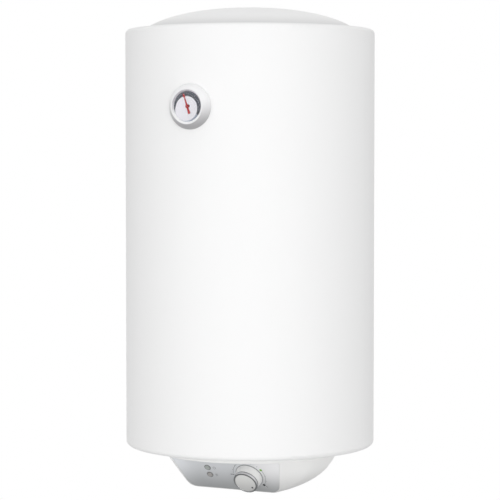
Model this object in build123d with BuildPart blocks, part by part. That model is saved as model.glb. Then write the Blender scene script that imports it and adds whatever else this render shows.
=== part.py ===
"""Wall-hung tank water heater, about 80 litres, with a control cover under its base.

Sizes are in millimetres.  The part hangs on a wall at y = 0 and faces -Y, with +Z up.
The origin is the middle of the four wall-bracket slots, in the plane of the wall.
Heights in the comments are measured from the bottom edge of the casing.
"""

import os
from math import cos, hypot, radians, sin, sqrt, tan

from build123d import *

os.makedirs("parts", exist_ok=True)

# Casing, dome and base plate
CASING_DIAMETER = 450.0
CASING_HEIGHT = 750.0
SHEET = 1.0
SHOULDER_RADIUS = 8.0
RIM_ROLL_RADIUS = 6.0
RIM_DEPTH = 25.0
LEDGE_WIDTH = 10.0
DOME_RISE = 64.0
GUTTER_WIDTH = 4.0
DOME_WALL = 1.5
RIM_CLEARANCE = 0.6
BASE_LEDGE = 8.0
CAP_RIM_INSET = 2.0
BASE_CAP_WALL = 1.5
BASE_CAP_DROP = 5.5
BASE_CAP_FLAT_RADIUS = 181.0
CROWN_FLAT = 8.0
SEAT_GAP = 0.3

# Tank and insulation
FOAM_SIDE = 29.0
TANK_WALL = 2.0
TANK_CYLINDER_BOTTOM = 80.0
TANK_SHOULDER_DROP = 70.0
HEAD_DEPTH = 70.0

# Wall brackets
WALL_GAP = 14.0
SLOT_SPACING_X = 200.0
SLOT_SPACING_Z = 400.0
SLOT_RADIUS = 6.0
SLOT_LENGTH = 30.0
LOWER_SLOT_HEIGHT = 200.0
BRACKET_PLATE = 3.0
BRACKET_HEIGHT = 44.0
BRACKET_MARGIN = 16.0
BRACKET_CORNER = 8.0
LEG_SPACING = 80.0
LEG_HEIGHT = 34.0
LEG_SLOT_CLEARANCE = 1.0

# Service flange in the tank's bottom
NECK_BORE_RADIUS = 46.0
NECK_WALL = 4.0
NECK_TOP = 16.0
FLANGE_RADIUS = 64.0
FLANGE_FACE = -4.0
NECK_RING_THICKNESS = 6.0
GASKET_THICKNESS = 3.0
FLANGE_PLATE_THICKNESS = 4.0
STUD_CIRCLE_RADIUS = 56.0
STUD_COUNT = 6
STUD_RADIUS = 3.0
STUD_LENGTH = 15.0
NUT_ACROSS_FLATS = 10.0
NUT_HEIGHT = 5.0
FLANGE_OPENING_CLEARANCE = 4.0

# Heaters, anode and feeler pocket on the flange
FLASK_OFFSET = 23.0
FLASK_RADIUS = 19.0
FLASK_WALL = 1.5
FLASK_TOP = 400.0
FLASK_LIP_RADIUS = 21.5
FLASK_LIP_THICKNESS = 1.5
ELEMENT_RADIUS = 16.0
ELEMENT_TOP = 355.0
ELEMENT_BEADS = 8
BEAD_GROOVE_DEPTH = 2.0
BEAD_GROOVE_HEIGHT = 4.0
ELEMENT_HEAD_RADIUS = 20.0
ELEMENT_HEAD_HEIGHT = 9.0
ELEMENT_PIN_RADIUS = 2.0
ELEMENT_PIN_LENGTH = 8.0
ELEMENT_PIN_SPACING = 18.0
ANODE_OFFSET = 30.0
ANODE_RADIUS = 11.0
ANODE_BOTTOM = 12.0
ANODE_TOP = 330.0
ANODE_STUD_RADIUS = 4.0
ANODE_HEX_FLATS = 13.0
ANODE_HEX_HEIGHT = 6.0
POCKET_OFFSET = -30.0
POCKET_RADIUS = 5.0
POCKET_WALL = 1.0
POCKET_TOP = 250.0
POCKET_LIP_RADIUS = 8.0
POCKET_LIP_THICKNESS = 2.0

# Water connections, with a half-inch pipe thread outside
PIPE_OFFSET_X = 50.0
PIPE_OFFSET_Y = 130.0
SPIGOT_RADIUS = 10.48
SPIGOT_BORE_RADIUS = 7.5
SPIGOT_DROP = 50.0
SPIGOT_TOP = 60.0
SPIGOT_CHAMFER = 1.2
SPIGOT_THREAD_LENGTH = 22.0
SPIGOT_STUB_RADIUS = 10.2
COLLAR_RADIUS = 18.0
COLLAR_THICKNESS = 5.0
COLLAR_CHAMFER = 1.2
OUTLET_TUBE_WALL = 1.0
OUTLET_TUBE_BOTTOM = -20.0
OUTLET_TUBE_HEAD_GAP = 12.0
DIFFUSER_RADIUS = 15.0
DIFFUSER_WALL = 2.0
DIFFUSER_HEIGHT = 45.0
DIFFUSER_SLOT_WIDTH = 8.0
DIFFUSER_SLOT_HEIGHT = 18.0
DIFFUSER_SLOTS = 4

# Control cover: a bowl cut by a slanted panel facet, a rising underside and a rear wall
COVER_WALL = 3.0
COVER_LIP_RADIUS = 164.5
COVER_LIP_HEIGHT = 7.5
BOWL_RADIUS = 181.0
BOWL_CENTRE_HEIGHT = 71.0
PANEL_TILT = 35.0
PANEL_FOOT_Y = -60.0
PANEL_FOOT_HEIGHT = -77.0
FACET_FOOT_HALF_WIDTH = 90.5
FACET_FLARE = 15.8
FLANK_ANGLE = 38.0
FLANK_FILLET = 40.0
UNDERSIDE_SLOPE = 0.3
COVER_BACK_Y = 85.0
UNDERSIDE_FILLET = 16.0
BOSS_RADIUS = 7.0
BOSS_X = 75.0
BOSS_Y = 50.0
COVER_SCREW_RADIUS = 2.0
COVER_SCREW_HEAD_RADIUS = 4.5
COVER_SCREW_HEAD_HEIGHT = 3.0
COVER_SCREW_SEAT = -20.0
COVER_SCREW_REACH = 2.5
SCREW_CLEARANCE = 0.3

# Silver panel insert, lamps and knob
PANEL_INSERT = 1.2
PANEL_BORDER = 1.2
PANEL_FOOT_BORDER = 1.6
PANEL_TOP_GAP = 1.0
PANEL_GAP = 0.4
PANEL_CORNER = 20.0
LAMP_X = -40.0
UPPER_LAMP_HEIGHT = -35.7
LOWER_LAMP_HEIGHT = -49.6
LAMP_RADIUS = 4.9
LAMP_PROUD = 1.2
LAMP_ROUND = 1.0
LAMP_COLLAR_RADIUS = 6.6
LAMP_COLLAR = 1.5
LAMP_HOLDER_RADIUS = 5.6
LAMP_HOLDER_LENGTH = 10.0
KNOB_X = 41.0
KNOB_HEIGHT = -45.5
KNOB_BASE_RADIUS = 25.0
KNOB_TOP_RADIUS = 22.6
KNOB_BODY_HEIGHT = 13.5
KNOB_FLOAT = 0.8
KNOB_HOLLOW_RADIUS = 20.0
KNOB_HOLLOW_TOP = 8.0
KNOB_HUB_RADIUS = 7.0
KNOB_HUB_BOTTOM = 5.0
KNOB_NECK_RADIUS = 20.8
KNOB_NECK_HEIGHT = 1.0
TRIM_RING_RADIUS = 22.4
TRIM_RING_BORE = 20.0
TRIM_RING_HEIGHT = 5.5
TRIM_RING_ROUND = 0.9
KNOB_CAP_HEIGHT = 5.0
KNOB_CAP_EDGE = 0.8
POINTER_RADIUS = 1.6
POINTER_OFFSET = 15.0
POINTER_ANGLE = -41.0
POINTER_DEPTH = 0.5

# Thermostat behind the panel, safety cut-out and wiring under the base plate
SPINDLE_RADIUS = 3.0
RUNNING_CLEARANCE = 0.05
SPINDLE_SOCKET_TOP = 11.0
THERMOSTAT_SIDE = 34.0
THERMOSTAT_DEPTH = 22.0
THERMOSTAT_CORNER = 4.0
THERMOSTAT_BUSH_RADIUS = 5.0
THERMOSTAT_BUSH_PROUD = 4.0
SPINDLE_DEPTH = 15.0
CAPILLARY_RADIUS = 1.0
CAPILLARY_RUN = 14.0
CAPILLARY_DIP = -28.0
CAPILLARY_BEND = 7.0
FEELER_RADIUS = 3.0
FEELER_BOTTOM = -5.0
FEELER_LENGTH = 180.0
TERMINAL_X = -105.0
TERMINAL_Y = 20.0
TERMINAL_WIDTH = 24.0
TERMINAL_LENGTH = 54.0
TERMINAL_HEIGHT = 18.0
TERMINAL_WAYS = 3
TERMINAL_SCREW_RADIUS = 3.2
TERMINAL_SCREW_DEPTH = 5.0
CUTOUT_X = 105.0
CUTOUT_Y = 35.0
CUTOUT_RADIUS = 15.0
CUTOUT_HEIGHT = 18.0
BUTTON_RADIUS = 4.0
BUTTON_PROUD = 4.0
BUTTON_ROUND = 1.0
BUTTON_COLLAR_RADIUS = 5.2
BUTTON_COLLAR = 2.0
BUTTON_TRAVEL = 2.0
BUTTON_GUIDE = 2.0
BUTTON_CHAMBER_SPARE = 1.0
LEAD_RADIUS = 1.6
LEAD_BEND = 8.0
LEAD_EXIT = 16.0
LEAD_REACH = 40.0
EARTH_LEAD_RISE = 16.0
EARTH_LEAD_BEND = 4.0
LEAD_DROP = 9.0
EARTH_X = -78.0
EARTH_Y = -20.0
EARTH_SCREW_RADIUS = 2.5
EARTH_HEAD_RADIUS = 5.0
EARTH_HEAD_HEIGHT = 3.5

# Cable gland in the cover's rear wall
GLAND_HEIGHT = -20.0
GLAND_THREAD_RADIUS = 7.6
GLAND_BORE_RADIUS = 4.5
GLAND_FLATS = 18.0
GLAND_FLANGE = 4.0
GLAND_LOCKNUT = 3.5
GLAND_THREAD_SPARE = 1.0
GLAND_THREAD_OUT = 8.0
GLAND_NUT_RADIUS = 10.4
GLAND_NUT_LENGTH = 14.0
GLAND_NUT_ROUND = 3.0

# Thermometer on the front of the casing
GAUGE_HEIGHT = 608.0
GAUGE_PROUD = 12.0
BEZEL_BASE_RADIUS = 39.4
BEZEL_STRAIGHT = 1.0
BEZEL_FRONT_RADIUS = 30.6
BEZEL_BULGE = 17.0
BEZEL_OPENING_RADIUS = 28.6
WINDOW_SEAT = 1.2
BEZEL_LIP_RADIUS = 26.2
DIAL_RADIUS = 27.8
DIAL_THICKNESS = 1.2
DIAL_RECESS = 2.9
WINDOW_THICKNESS = 0.9
WINDOW_RECESS = 0.3
CASE_RADIUS = 26.0
CASE_WALL = 1.2
CASE_DEPTH = 28.0
STEM_RADIUS = 3.0
NEEDLE_THICKNESS = 0.5
NEEDLE_LIFT = 0.5
NEEDLE_LENGTH = 22.6
NEEDLE_TAIL = 13.4
NEEDLE_WAIST = 1.5
NEEDLE_NECK = 0.8
NEEDLE_TIP = 1.1
NEEDLE_POINT_WIDTH = 3.8
NEEDLE_POINT_LENGTH = 6.0
NEEDLE_TAIL_WIDTH = 4.6
NEEDLE_HUB_RADIUS = 3.2
NEEDLE_HUB_RISE = 0.2
NEEDLE_ANGLE = 19.0
ARBOR_RADIUS = 1.0
ARBOR_CLEARANCE = 0.1
ARBOR_DEPTH = 6.0

# Values that follow from the sizes above
casing_radius = CASING_DIAMETER / 2
casing_y = -(casing_radius + WALL_GAP)
base_z = -(LOWER_SLOT_HEIGHT + SLOT_SPACING_Z / 2)
shoulder_centre = casing_radius - SHOULDER_RADIUS
rim_radius = shoulder_centre - RIM_ROLL_RADIUS
ledge_top = CASING_HEIGHT - RIM_DEPTH
ledge_radius = rim_radius - LEDGE_WIDTH
base_opening_radius = shoulder_centre - BASE_LEDGE
dome_radius = rim_radius - GUTTER_WIDTH
base_face = -BASE_CAP_DROP
base_cap_top = base_face + BASE_CAP_WALL
screw_end = base_cap_top + COVER_SCREW_REACH
tank_radius = casing_radius - FOAM_SIDE
tank_cylinder_top = CASING_HEIGHT - TANK_SHOULDER_DROP
neck_radius = NECK_BORE_RADIUS + NECK_WALL
gasket_face = FLANGE_FACE - GASKET_THICKNESS
plate_face = gasket_face - FLANGE_PLATE_THICKNESS
flange_opening_radius = FLANGE_RADIUS + FLANGE_OPENING_CLEARANCE
flask_face = plate_face - FLASK_LIP_THICKNESS
element_face = flask_face - ELEMENT_HEAD_HEIGHT
outlet_tube_radius = SPIGOT_BORE_RADIUS - SEAT_GAP
pipe_distance = hypot(PIPE_OFFSET_X, PIPE_OFFSET_Y)


def at(x, y, z):
    """Point given from the tank's axis and the casing's bottom edge."""
    return (x, casing_y + y, base_z + z)


def level(height, x=0.0, y=0.0):
    """Horizontal plane at a height, centred on a point given from the tank's axis."""
    return Plane(origin=at(x, y, height))


def upright(x, y=0.0):
    """Vertical plane facing the front: radius across, height up."""
    return Plane(origin=at(x, y, 0), x_dir=(1, 0, 0), z_dir=(0, -1, 0))


def upright_axis(x=0.0, y=0.0):
    """Vertical axis through a point given from the tank's axis."""
    return Axis(at(x, y, 0), (0, 0, 1))


axial = upright(0)
tank_axis = upright_axis()


def dome_height(radius, depth, at_radius):
    """Height of a pressed dome above its base, at a distance from the axis."""
    return depth * sqrt(1 - ((at_radius - CROWN_FLAT) / (radius - CROWN_FLAT)) ** 2)


def dome_line(radius, depth, base, sign=1):
    """Half outline of a pressed dome: an elliptical wall up to a small flat at its crown."""
    start = 0 if sign > 0 else 270
    EllipticalCenterArc((CROWN_FLAT, base), radius - CROWN_FLAT, depth, start, arc_size=90)
    Line((CROWN_FLAT, base + sign * depth), (0, base + sign * depth))


def tank_capsule(grow):
    """Half outline of the closed tank, grown all round, for revolving."""
    radius = tank_radius + grow
    depth = HEAD_DEPTH + grow
    with BuildSketch(axial) as outline:
        with BuildLine():
            Line((0, TANK_CYLINDER_BOTTOM - depth), (0, tank_cylinder_top + depth))
            dome_line(radius, depth, tank_cylinder_top)
            Line((radius, tank_cylinder_top), (radius, TANK_CYLINDER_BOTTOM))
            dome_line(radius, depth, TANK_CYLINDER_BOTTOM, -1)
        make_face()
    return outline.sketch


def round_bar(x, y, bottom, top, radius, mode=Mode.ADD):
    """Upright round bar between two heights, added to or cut from the open piece."""
    with BuildSketch(level(bottom, x, y)) as section:
        Circle(radius)
    extrude(section.sketch, amount=top - bottom, mode=mode)


def hex_bar(x, y, bottom, top, across_flats, mode=Mode.ADD):
    """Upright hexagonal bar between two heights."""
    with BuildSketch(level(bottom, x, y)) as section:
        RegularPolygon(across_flats / 2, 6, major_radius=False)
    extrude(section.sketch, amount=top - bottom, mode=mode)


stud_points = [
    (STUD_CIRCLE_RADIUS * cos(radians(a)), STUD_CIRCLE_RADIUS * sin(radians(a)))
    for a in [360.0 / STUD_COUNT * (i + 0.5) for i in range(STUD_COUNT)]
]
pipe_hole_radius = SPIGOT_RADIUS + SEAT_GAP
cover_screw_hole = COVER_SCREW_RADIUS + SCREW_CLEARANCE
earth_screw_hole = EARTH_SCREW_RADIUS + SCREW_CLEARANCE
pipe_points = [(side * PIPE_OFFSET_X, PIPE_OFFSET_Y) for side in (-1, 1)]
boss_points = [(side * BOSS_X, BOSS_Y) for side in (-1, 1)]
leg_points = [side * LEG_SPACING / 2 for side in (-1, 1)]
bracket_heights = [LOWER_SLOT_HEIGHT, LOWER_SLOT_HEIGHT + SLOT_SPACING_Z]
leg_start = sqrt((tank_radius + SEAT_GAP) ** 2 - (LEG_SPACING / 2 - BRACKET_PLATE / 2) ** 2)


def bracket_leg(x, height, start_y, grow, mode):
    """Upright leg plate from near the tank to the wall bracket, grown for its slot."""
    with BuildSketch(level(height - LEG_HEIGHT / 2 - grow, x, (start_y - casing_y) / 2)) as section:
        Rectangle(BRACKET_PLATE + 2 * grow, -casing_y - start_y)
    extrude(section.sketch, amount=LEG_HEIGHT + 2 * grow, mode=mode)


# Outer casing: sheet drum, rolled out at both shoulders, with a gutter ledge for the dome
with BuildPart() as outer_casing:
    with BuildSketch(axial):
        with BuildLine():
            inner_radius = casing_radius - SHEET
            inner_shoulder = SHOULDER_RADIUS - SHEET
            low_centre = (shoulder_centre, SHOULDER_RADIUS)
            high_centre = (shoulder_centre, CASING_HEIGHT - SHOULDER_RADIUS)
            roll_centre = (shoulder_centre, CASING_HEIGHT - RIM_ROLL_RADIUS)
            Line((base_opening_radius, 0), (shoulder_centre, 0))
            CenterArc(low_centre, SHOULDER_RADIUS, 270, 90)
            Line((casing_radius, SHOULDER_RADIUS), (casing_radius, CASING_HEIGHT - SHOULDER_RADIUS))
            CenterArc(high_centre, SHOULDER_RADIUS, 0, 90)
            CenterArc(roll_centre, RIM_ROLL_RADIUS, 90, 90)
            Polyline(
                (rim_radius, CASING_HEIGHT - RIM_ROLL_RADIUS),
                (rim_radius, ledge_top),
                (ledge_radius, ledge_top),
                (ledge_radius, ledge_top - SHEET),
                (rim_radius + SHEET, ledge_top - SHEET),
                (rim_radius + SHEET, CASING_HEIGHT - RIM_ROLL_RADIUS),
            )
            CenterArc(roll_centre, RIM_ROLL_RADIUS - SHEET, 90, 90)
            CenterArc(high_centre, inner_shoulder, 0, 90)
            Line((inner_radius, CASING_HEIGHT - SHOULDER_RADIUS), (inner_radius, SHOULDER_RADIUS))
            CenterArc(low_centre, inner_shoulder, 270, 90)
            Polyline((shoulder_centre, SHEET), (base_opening_radius, SHEET), (base_opening_radius, 0))
        make_face()
    revolve(axis=tank_axis)
    # slots that let the bracket legs through, and the thermometer's hole
    for height in bracket_heights:
        for x in leg_points:
            bracket_leg(x, height, leg_start, LEG_SLOT_CLEARANCE, Mode.SUBTRACT)
    with BuildSketch(upright(0, -casing_radius)):
        with Locations((0, GAUGE_HEIGHT)):
            Circle(CASE_RADIUS + RIM_CLEARANCE)
    extrude(amount=-CASE_DEPTH, mode=Mode.SUBTRACT)

# Top cap: a shallow elliptical dome standing on the gutter ledge
with BuildPart() as top_cap:
    with BuildSketch(axial):
        with BuildLine():
            Line((dome_radius - DOME_WALL, ledge_top), (dome_radius, ledge_top))
            dome_line(dome_radius, DOME_RISE, ledge_top)
            Line((0, ledge_top + DOME_RISE), (0, ledge_top + DOME_RISE - DOME_WALL))
            dome_line(dome_radius - DOME_WALL, DOME_RISE - DOME_WALL, ledge_top)
        make_face()
    revolve(axis=tank_axis)

# Bottom cap: dished base plate, hung on the casing's lower ledge
with BuildPart() as bottom_cap:
    with BuildSketch(axial):
        with BuildLine():
            cap_rim = shoulder_centre - CAP_RIM_INSET
            cap_neck = base_opening_radius - RIM_CLEARANCE
            Polyline(
                (cap_rim, SHEET),
                (cap_neck, SHEET),
                (BASE_CAP_FLAT_RADIUS, base_face),
                (flange_opening_radius, base_face),
                (flange_opening_radius, base_cap_top),
                (BASE_CAP_FLAT_RADIUS, base_cap_top),
                (cap_neck, SHEET + BASE_CAP_WALL),
                (cap_rim, SHEET + BASE_CAP_WALL),
                (cap_rim, SHEET),
            )
        make_face()
    revolve(axis=tank_axis)
    for x, y in pipe_points:
        round_bar(x, y, base_face, base_cap_top, pipe_hole_radius, Mode.SUBTRACT)
    for x, y in boss_points:
        round_bar(x, y, base_face, base_cap_top, cover_screw_hole, Mode.SUBTRACT)
    round_bar(EARTH_X, EARTH_Y, base_face, base_cap_top, earth_screw_hole, Mode.SUBTRACT)

# Insulation: foam that fills the space between the tank and the casing
with BuildPart() as insulation_foam:
    with BuildSketch(axial):
        with BuildLine():
            foam_radius = casing_radius - SHEET - SEAT_GAP
            foam_neck = ledge_radius - SEAT_GAP
            foam_floor = base_cap_top + SEAT_GAP
            foam_shelf = SHEET + BASE_CAP_WALL + SEAT_GAP
            foam_ceiling = ledge_top - SHEET - SEAT_GAP
            dome_bore = dome_radius - DOME_WALL - SEAT_GAP
            dome_depth = DOME_RISE - DOME_WALL - SEAT_GAP
            Polyline(
                (0, ledge_top),
                (0, foam_floor),
                (BASE_CAP_FLAT_RADIUS, foam_floor),
                (cap_neck, foam_shelf),
                (cap_rim, foam_shelf),
                (foam_radius, SHOULDER_RADIUS),
                (foam_radius, foam_ceiling),
                (foam_neck, foam_ceiling),
                (foam_neck, ledge_top),
                (0, ledge_top),
            )
        make_face()
    revolve(axis=tank_axis)
    # crown of the foam, under the dome
    with BuildSketch(axial):
        with BuildLine():
            Line((0, ledge_top), (0, ledge_top + dome_depth))
            dome_line(dome_bore, dome_depth, ledge_top)
            Line((dome_bore, ledge_top), (0, ledge_top))
        make_face()
        with Locations((foam_neck / 2, ledge_top + dome_depth / 2)):
            Rectangle(foam_neck, dome_depth, mode=Mode.INTERSECT)
    revolve(axis=tank_axis)
    revolve(tank_capsule(SEAT_GAP).faces(), axis=tank_axis, mode=Mode.SUBTRACT)
    round_bar(0, 0, foam_floor, TANK_CYLINDER_BOTTOM, flange_opening_radius, Mode.SUBTRACT)
    for x, y in pipe_points:
        round_bar(x, y, foam_floor, TANK_CYLINDER_BOTTOM, pipe_hole_radius, Mode.SUBTRACT)
    screw_pocket_top = screw_end + SEAT_GAP
    for x, y in boss_points:
        round_bar(x, y, foam_floor, screw_pocket_top, cover_screw_hole, Mode.SUBTRACT)
    round_bar(EARTH_X, EARTH_Y, foam_floor, screw_pocket_top, earth_screw_hole, Mode.SUBTRACT)
    for height in bracket_heights:
        for x in leg_points:
            bracket_leg(x, height, leg_start - TANK_WALL, SEAT_GAP, Mode.SUBTRACT)
    with BuildSketch(upright(0, -casing_radius)):
        with Locations((0, GAUGE_HEIGHT)):
            Circle(CASE_RADIUS + RIM_CLEARANCE)
    extrude(amount=-(casing_radius - tank_radius), mode=Mode.SUBTRACT)

# Tank: welded shell with a dished head at each end
with BuildPart() as tank_shell:
    with BuildSketch(level(TANK_CYLINDER_BOTTOM)):
        Circle(tank_radius)
        Circle(tank_radius - TANK_WALL, mode=Mode.SUBTRACT)
    extrude(amount=tank_cylinder_top - TANK_CYLINDER_BOTTOM)


def dished_head(base, sign):
    """Elliptical head of the tank; sign is +1 for the top head and -1 for the bottom one."""
    with BuildSketch(axial) as section:
        with BuildLine():
            inside = tank_radius - TANK_WALL
            inside_depth = HEAD_DEPTH - TANK_WALL
            Line((inside, base), (tank_radius, base))
            dome_line(tank_radius, HEAD_DEPTH, base, sign)
            Line((0, base + sign * HEAD_DEPTH), (0, base + sign * inside_depth))
            dome_line(inside, inside_depth, base, sign)
        make_face()
    revolve(section.sketch.faces(), axis=tank_axis)


with BuildPart() as tank_top_head:
    dished_head(tank_cylinder_top, 1)

with BuildPart() as tank_bottom_head:
    dished_head(TANK_CYLINDER_BOTTOM, -1)
    round_bar(0, 0, base_face, TANK_CYLINDER_BOTTOM, neck_radius + SEAT_GAP, Mode.SUBTRACT)
    for x, y in pipe_points:
        round_bar(x, y, base_face, TANK_CYLINDER_BOTTOM, pipe_hole_radius, Mode.SUBTRACT)

# Service flange: welded neck with studs, gasket, plate and nuts
with BuildPart() as flange_neck:
    with BuildSketch(axial):
        with BuildLine():
            Polyline(
                (NECK_BORE_RADIUS, FLANGE_FACE),
                (FLANGE_RADIUS, FLANGE_FACE),
                (FLANGE_RADIUS, FLANGE_FACE + NECK_RING_THICKNESS),
                (neck_radius, FLANGE_FACE + NECK_RING_THICKNESS),
                (neck_radius, NECK_TOP),
                (NECK_BORE_RADIUS, NECK_TOP),
                (NECK_BORE_RADIUS, FLANGE_FACE),
            )
        make_face()
    revolve(axis=tank_axis)
    for x, y in stud_points:
        round_bar(x, y, FLANGE_FACE - STUD_LENGTH, FLANGE_FACE + NECK_RING_THICKNESS / 2, STUD_RADIUS)

with BuildPart() as flange_gasket:
    with BuildSketch(level(gasket_face)):
        Circle(FLANGE_RADIUS)
        Circle(NECK_BORE_RADIUS, mode=Mode.SUBTRACT)
        with Locations(stud_points):
            Circle(STUD_RADIUS + SCREW_CLEARANCE, mode=Mode.SUBTRACT)
    extrude(amount=GASKET_THICKNESS)

with BuildPart() as flange_plate:
    with BuildSketch(level(plate_face)):
        Circle(FLANGE_RADIUS)
        with Locations(stud_points):
            Circle(STUD_RADIUS + SCREW_CLEARANCE, mode=Mode.SUBTRACT)
        with Locations((-FLASK_OFFSET, 0), (FLASK_OFFSET, 0)):
            Circle(FLASK_RADIUS + SEAT_GAP, mode=Mode.SUBTRACT)
        with Locations((0, ANODE_OFFSET)):
            Circle(ANODE_STUD_RADIUS + SEAT_GAP, mode=Mode.SUBTRACT)
        with Locations((0, POCKET_OFFSET)):
            Circle(POCKET_RADIUS + SEAT_GAP, mode=Mode.SUBTRACT)
    extrude(amount=FLANGE_PLATE_THICKNESS)

with BuildPart() as flange_nuts:
    for x, y in stud_points:
        hex_bar(x, y, plate_face - NUT_HEIGHT, plate_face, NUT_ACROSS_FLATS)
        round_bar(x, y, plate_face - NUT_HEIGHT, plate_face, STUD_RADIUS + RUNNING_CLEARANCE, Mode.SUBTRACT)


def closed_tube(x, y, lip_radius, lip_bottom, seat, radius, wall, top):
    """Tube with a round closed top, hung by a flat lip under the flange plate."""
    with BuildSketch(upright(x, y)) as section:
        with BuildLine():
            bore = radius - wall
            Polyline(
                (bore, top - radius),
                (bore, lip_bottom),
                (lip_radius, lip_bottom),
                (lip_radius, seat),
                (radius, seat),
                (radius, top - radius),
            )
            CenterArc((0, top - radius), radius, 0, 90)
            Line((0, top), (0, top - wall))
            CenterArc((0, top - radius), bore, 0, 90)
        make_face()
    revolve(section.sketch.faces(), axis=upright_axis(x, y))


def heater_flask(x):
    """Enamelled flask that keeps one heater dry."""
    closed_tube(x, 0, FLASK_LIP_RADIUS, flask_face, plate_face, FLASK_RADIUS, FLASK_WALL, FLASK_TOP)


def ceramic_heater(x):
    """Stack of ceramic beads on a terminal head, slid into its flask from below."""
    pitch = (ELEMENT_TOP - flask_face) / ELEMENT_BEADS
    with BuildSketch(upright(x)) as section:
        with Locations((0, element_face)):
            Rectangle(ELEMENT_HEAD_RADIUS, ELEMENT_HEAD_HEIGHT, align=Align.MIN)
        with Locations((0, flask_face)):
            Rectangle(ELEMENT_RADIUS, ELEMENT_TOP - flask_face, align=Align.MIN)
        groove_points = [(ELEMENT_RADIUS, flask_face + pitch * i) for i in range(1, ELEMENT_BEADS)]
        with Locations(groove_points):
            Rectangle(2 * BEAD_GROOVE_DEPTH, BEAD_GROOVE_HEIGHT, mode=Mode.SUBTRACT)
    revolve(section.sketch.faces(), axis=upright_axis(x))
    for side in (-1, 1):
        pin_y = side * ELEMENT_PIN_SPACING / 2
        round_bar(x, pin_y, element_face - ELEMENT_PIN_LENGTH, element_face, ELEMENT_PIN_RADIUS)


with BuildPart() as heater_flask_left:
    heater_flask(-FLASK_OFFSET)

with BuildPart() as heater_flask_right:
    heater_flask(FLASK_OFFSET)

with BuildPart() as ceramic_heater_left:
    ceramic_heater(-FLASK_OFFSET)

with BuildPart() as ceramic_heater_right:
    ceramic_heater(FLASK_OFFSET)

# Anode: magnesium rod on a steel stud with a hexagon under the plate
with BuildPart() as anode_rod:
    round_bar(0, ANODE_OFFSET, ANODE_BOTTOM, ANODE_TOP, ANODE_RADIUS)
    round_bar(0, ANODE_OFFSET, plate_face, ANODE_BOTTOM, ANODE_STUD_RADIUS)
    hex_bar(0, ANODE_OFFSET, plate_face - ANODE_HEX_HEIGHT, plate_face, ANODE_HEX_FLATS)

with BuildPart() as sensor_pocket:
    closed_tube(
        0,
        POCKET_OFFSET,
        POCKET_LIP_RADIUS,
        plate_face - POCKET_LIP_THICKNESS,
        plate_face,
        POCKET_RADIUS,
        POCKET_WALL,
        POCKET_TOP,
    )


# Water connections: cold on the right, hot on the left, seen from the front
def spigot(x):
    """Threaded pipe stub welded into the tank's bottom head."""
    thread_top = SPIGOT_THREAD_LENGTH - SPIGOT_DROP
    round_bar(x, PIPE_OFFSET_Y, -SPIGOT_DROP, thread_top, SPIGOT_RADIUS)
    round_bar(x, PIPE_OFFSET_Y, thread_top, SPIGOT_TOP, SPIGOT_STUB_RADIUS)
    chamfer(edges().filter_by(GeomType.CIRCLE).sort_by(Axis.Z)[:1], SPIGOT_CHAMFER)
    round_bar(x, PIPE_OFFSET_Y, -SPIGOT_DROP, SPIGOT_TOP, SPIGOT_BORE_RADIUS, Mode.SUBTRACT)


def collar(x):
    """Coloured ring round a spigot, flat under the base plate."""
    collar_bottom = base_face - COLLAR_THICKNESS
    round_bar(x, PIPE_OFFSET_Y, collar_bottom, base_face, COLLAR_RADIUS)
    chamfer(edges().filter_by(GeomType.CIRCLE).sort_by(Axis.Z)[:1], COLLAR_CHAMFER)
    round_bar(x, PIPE_OFFSET_Y, collar_bottom, base_face, pipe_hole_radius, Mode.SUBTRACT)


with BuildPart() as cold_spigot:
    spigot(PIPE_OFFSET_X)

with BuildPart() as hot_spigot:
    spigot(-PIPE_OFFSET_X)

with BuildPart() as cold_collar:
    collar(PIPE_OFFSET_X)

with BuildPart() as hot_collar:
    collar(-PIPE_OFFSET_X)

with BuildPart() as hot_outlet_tube:
    head_bore = tank_radius - TANK_WALL
    head_reach = pipe_distance + outlet_tube_radius
    head_ceiling = tank_cylinder_top + dome_height(head_bore, HEAD_DEPTH - TANK_WALL, head_reach)
    tube_top = head_ceiling - OUTLET_TUBE_HEAD_GAP
    round_bar(-PIPE_OFFSET_X, PIPE_OFFSET_Y, OUTLET_TUBE_BOTTOM, tube_top, outlet_tube_radius)
    tube_bore = outlet_tube_radius - OUTLET_TUBE_WALL
    round_bar(-PIPE_OFFSET_X, PIPE_OFFSET_Y, OUTLET_TUBE_BOTTOM, tube_top, tube_bore, Mode.SUBTRACT)

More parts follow.
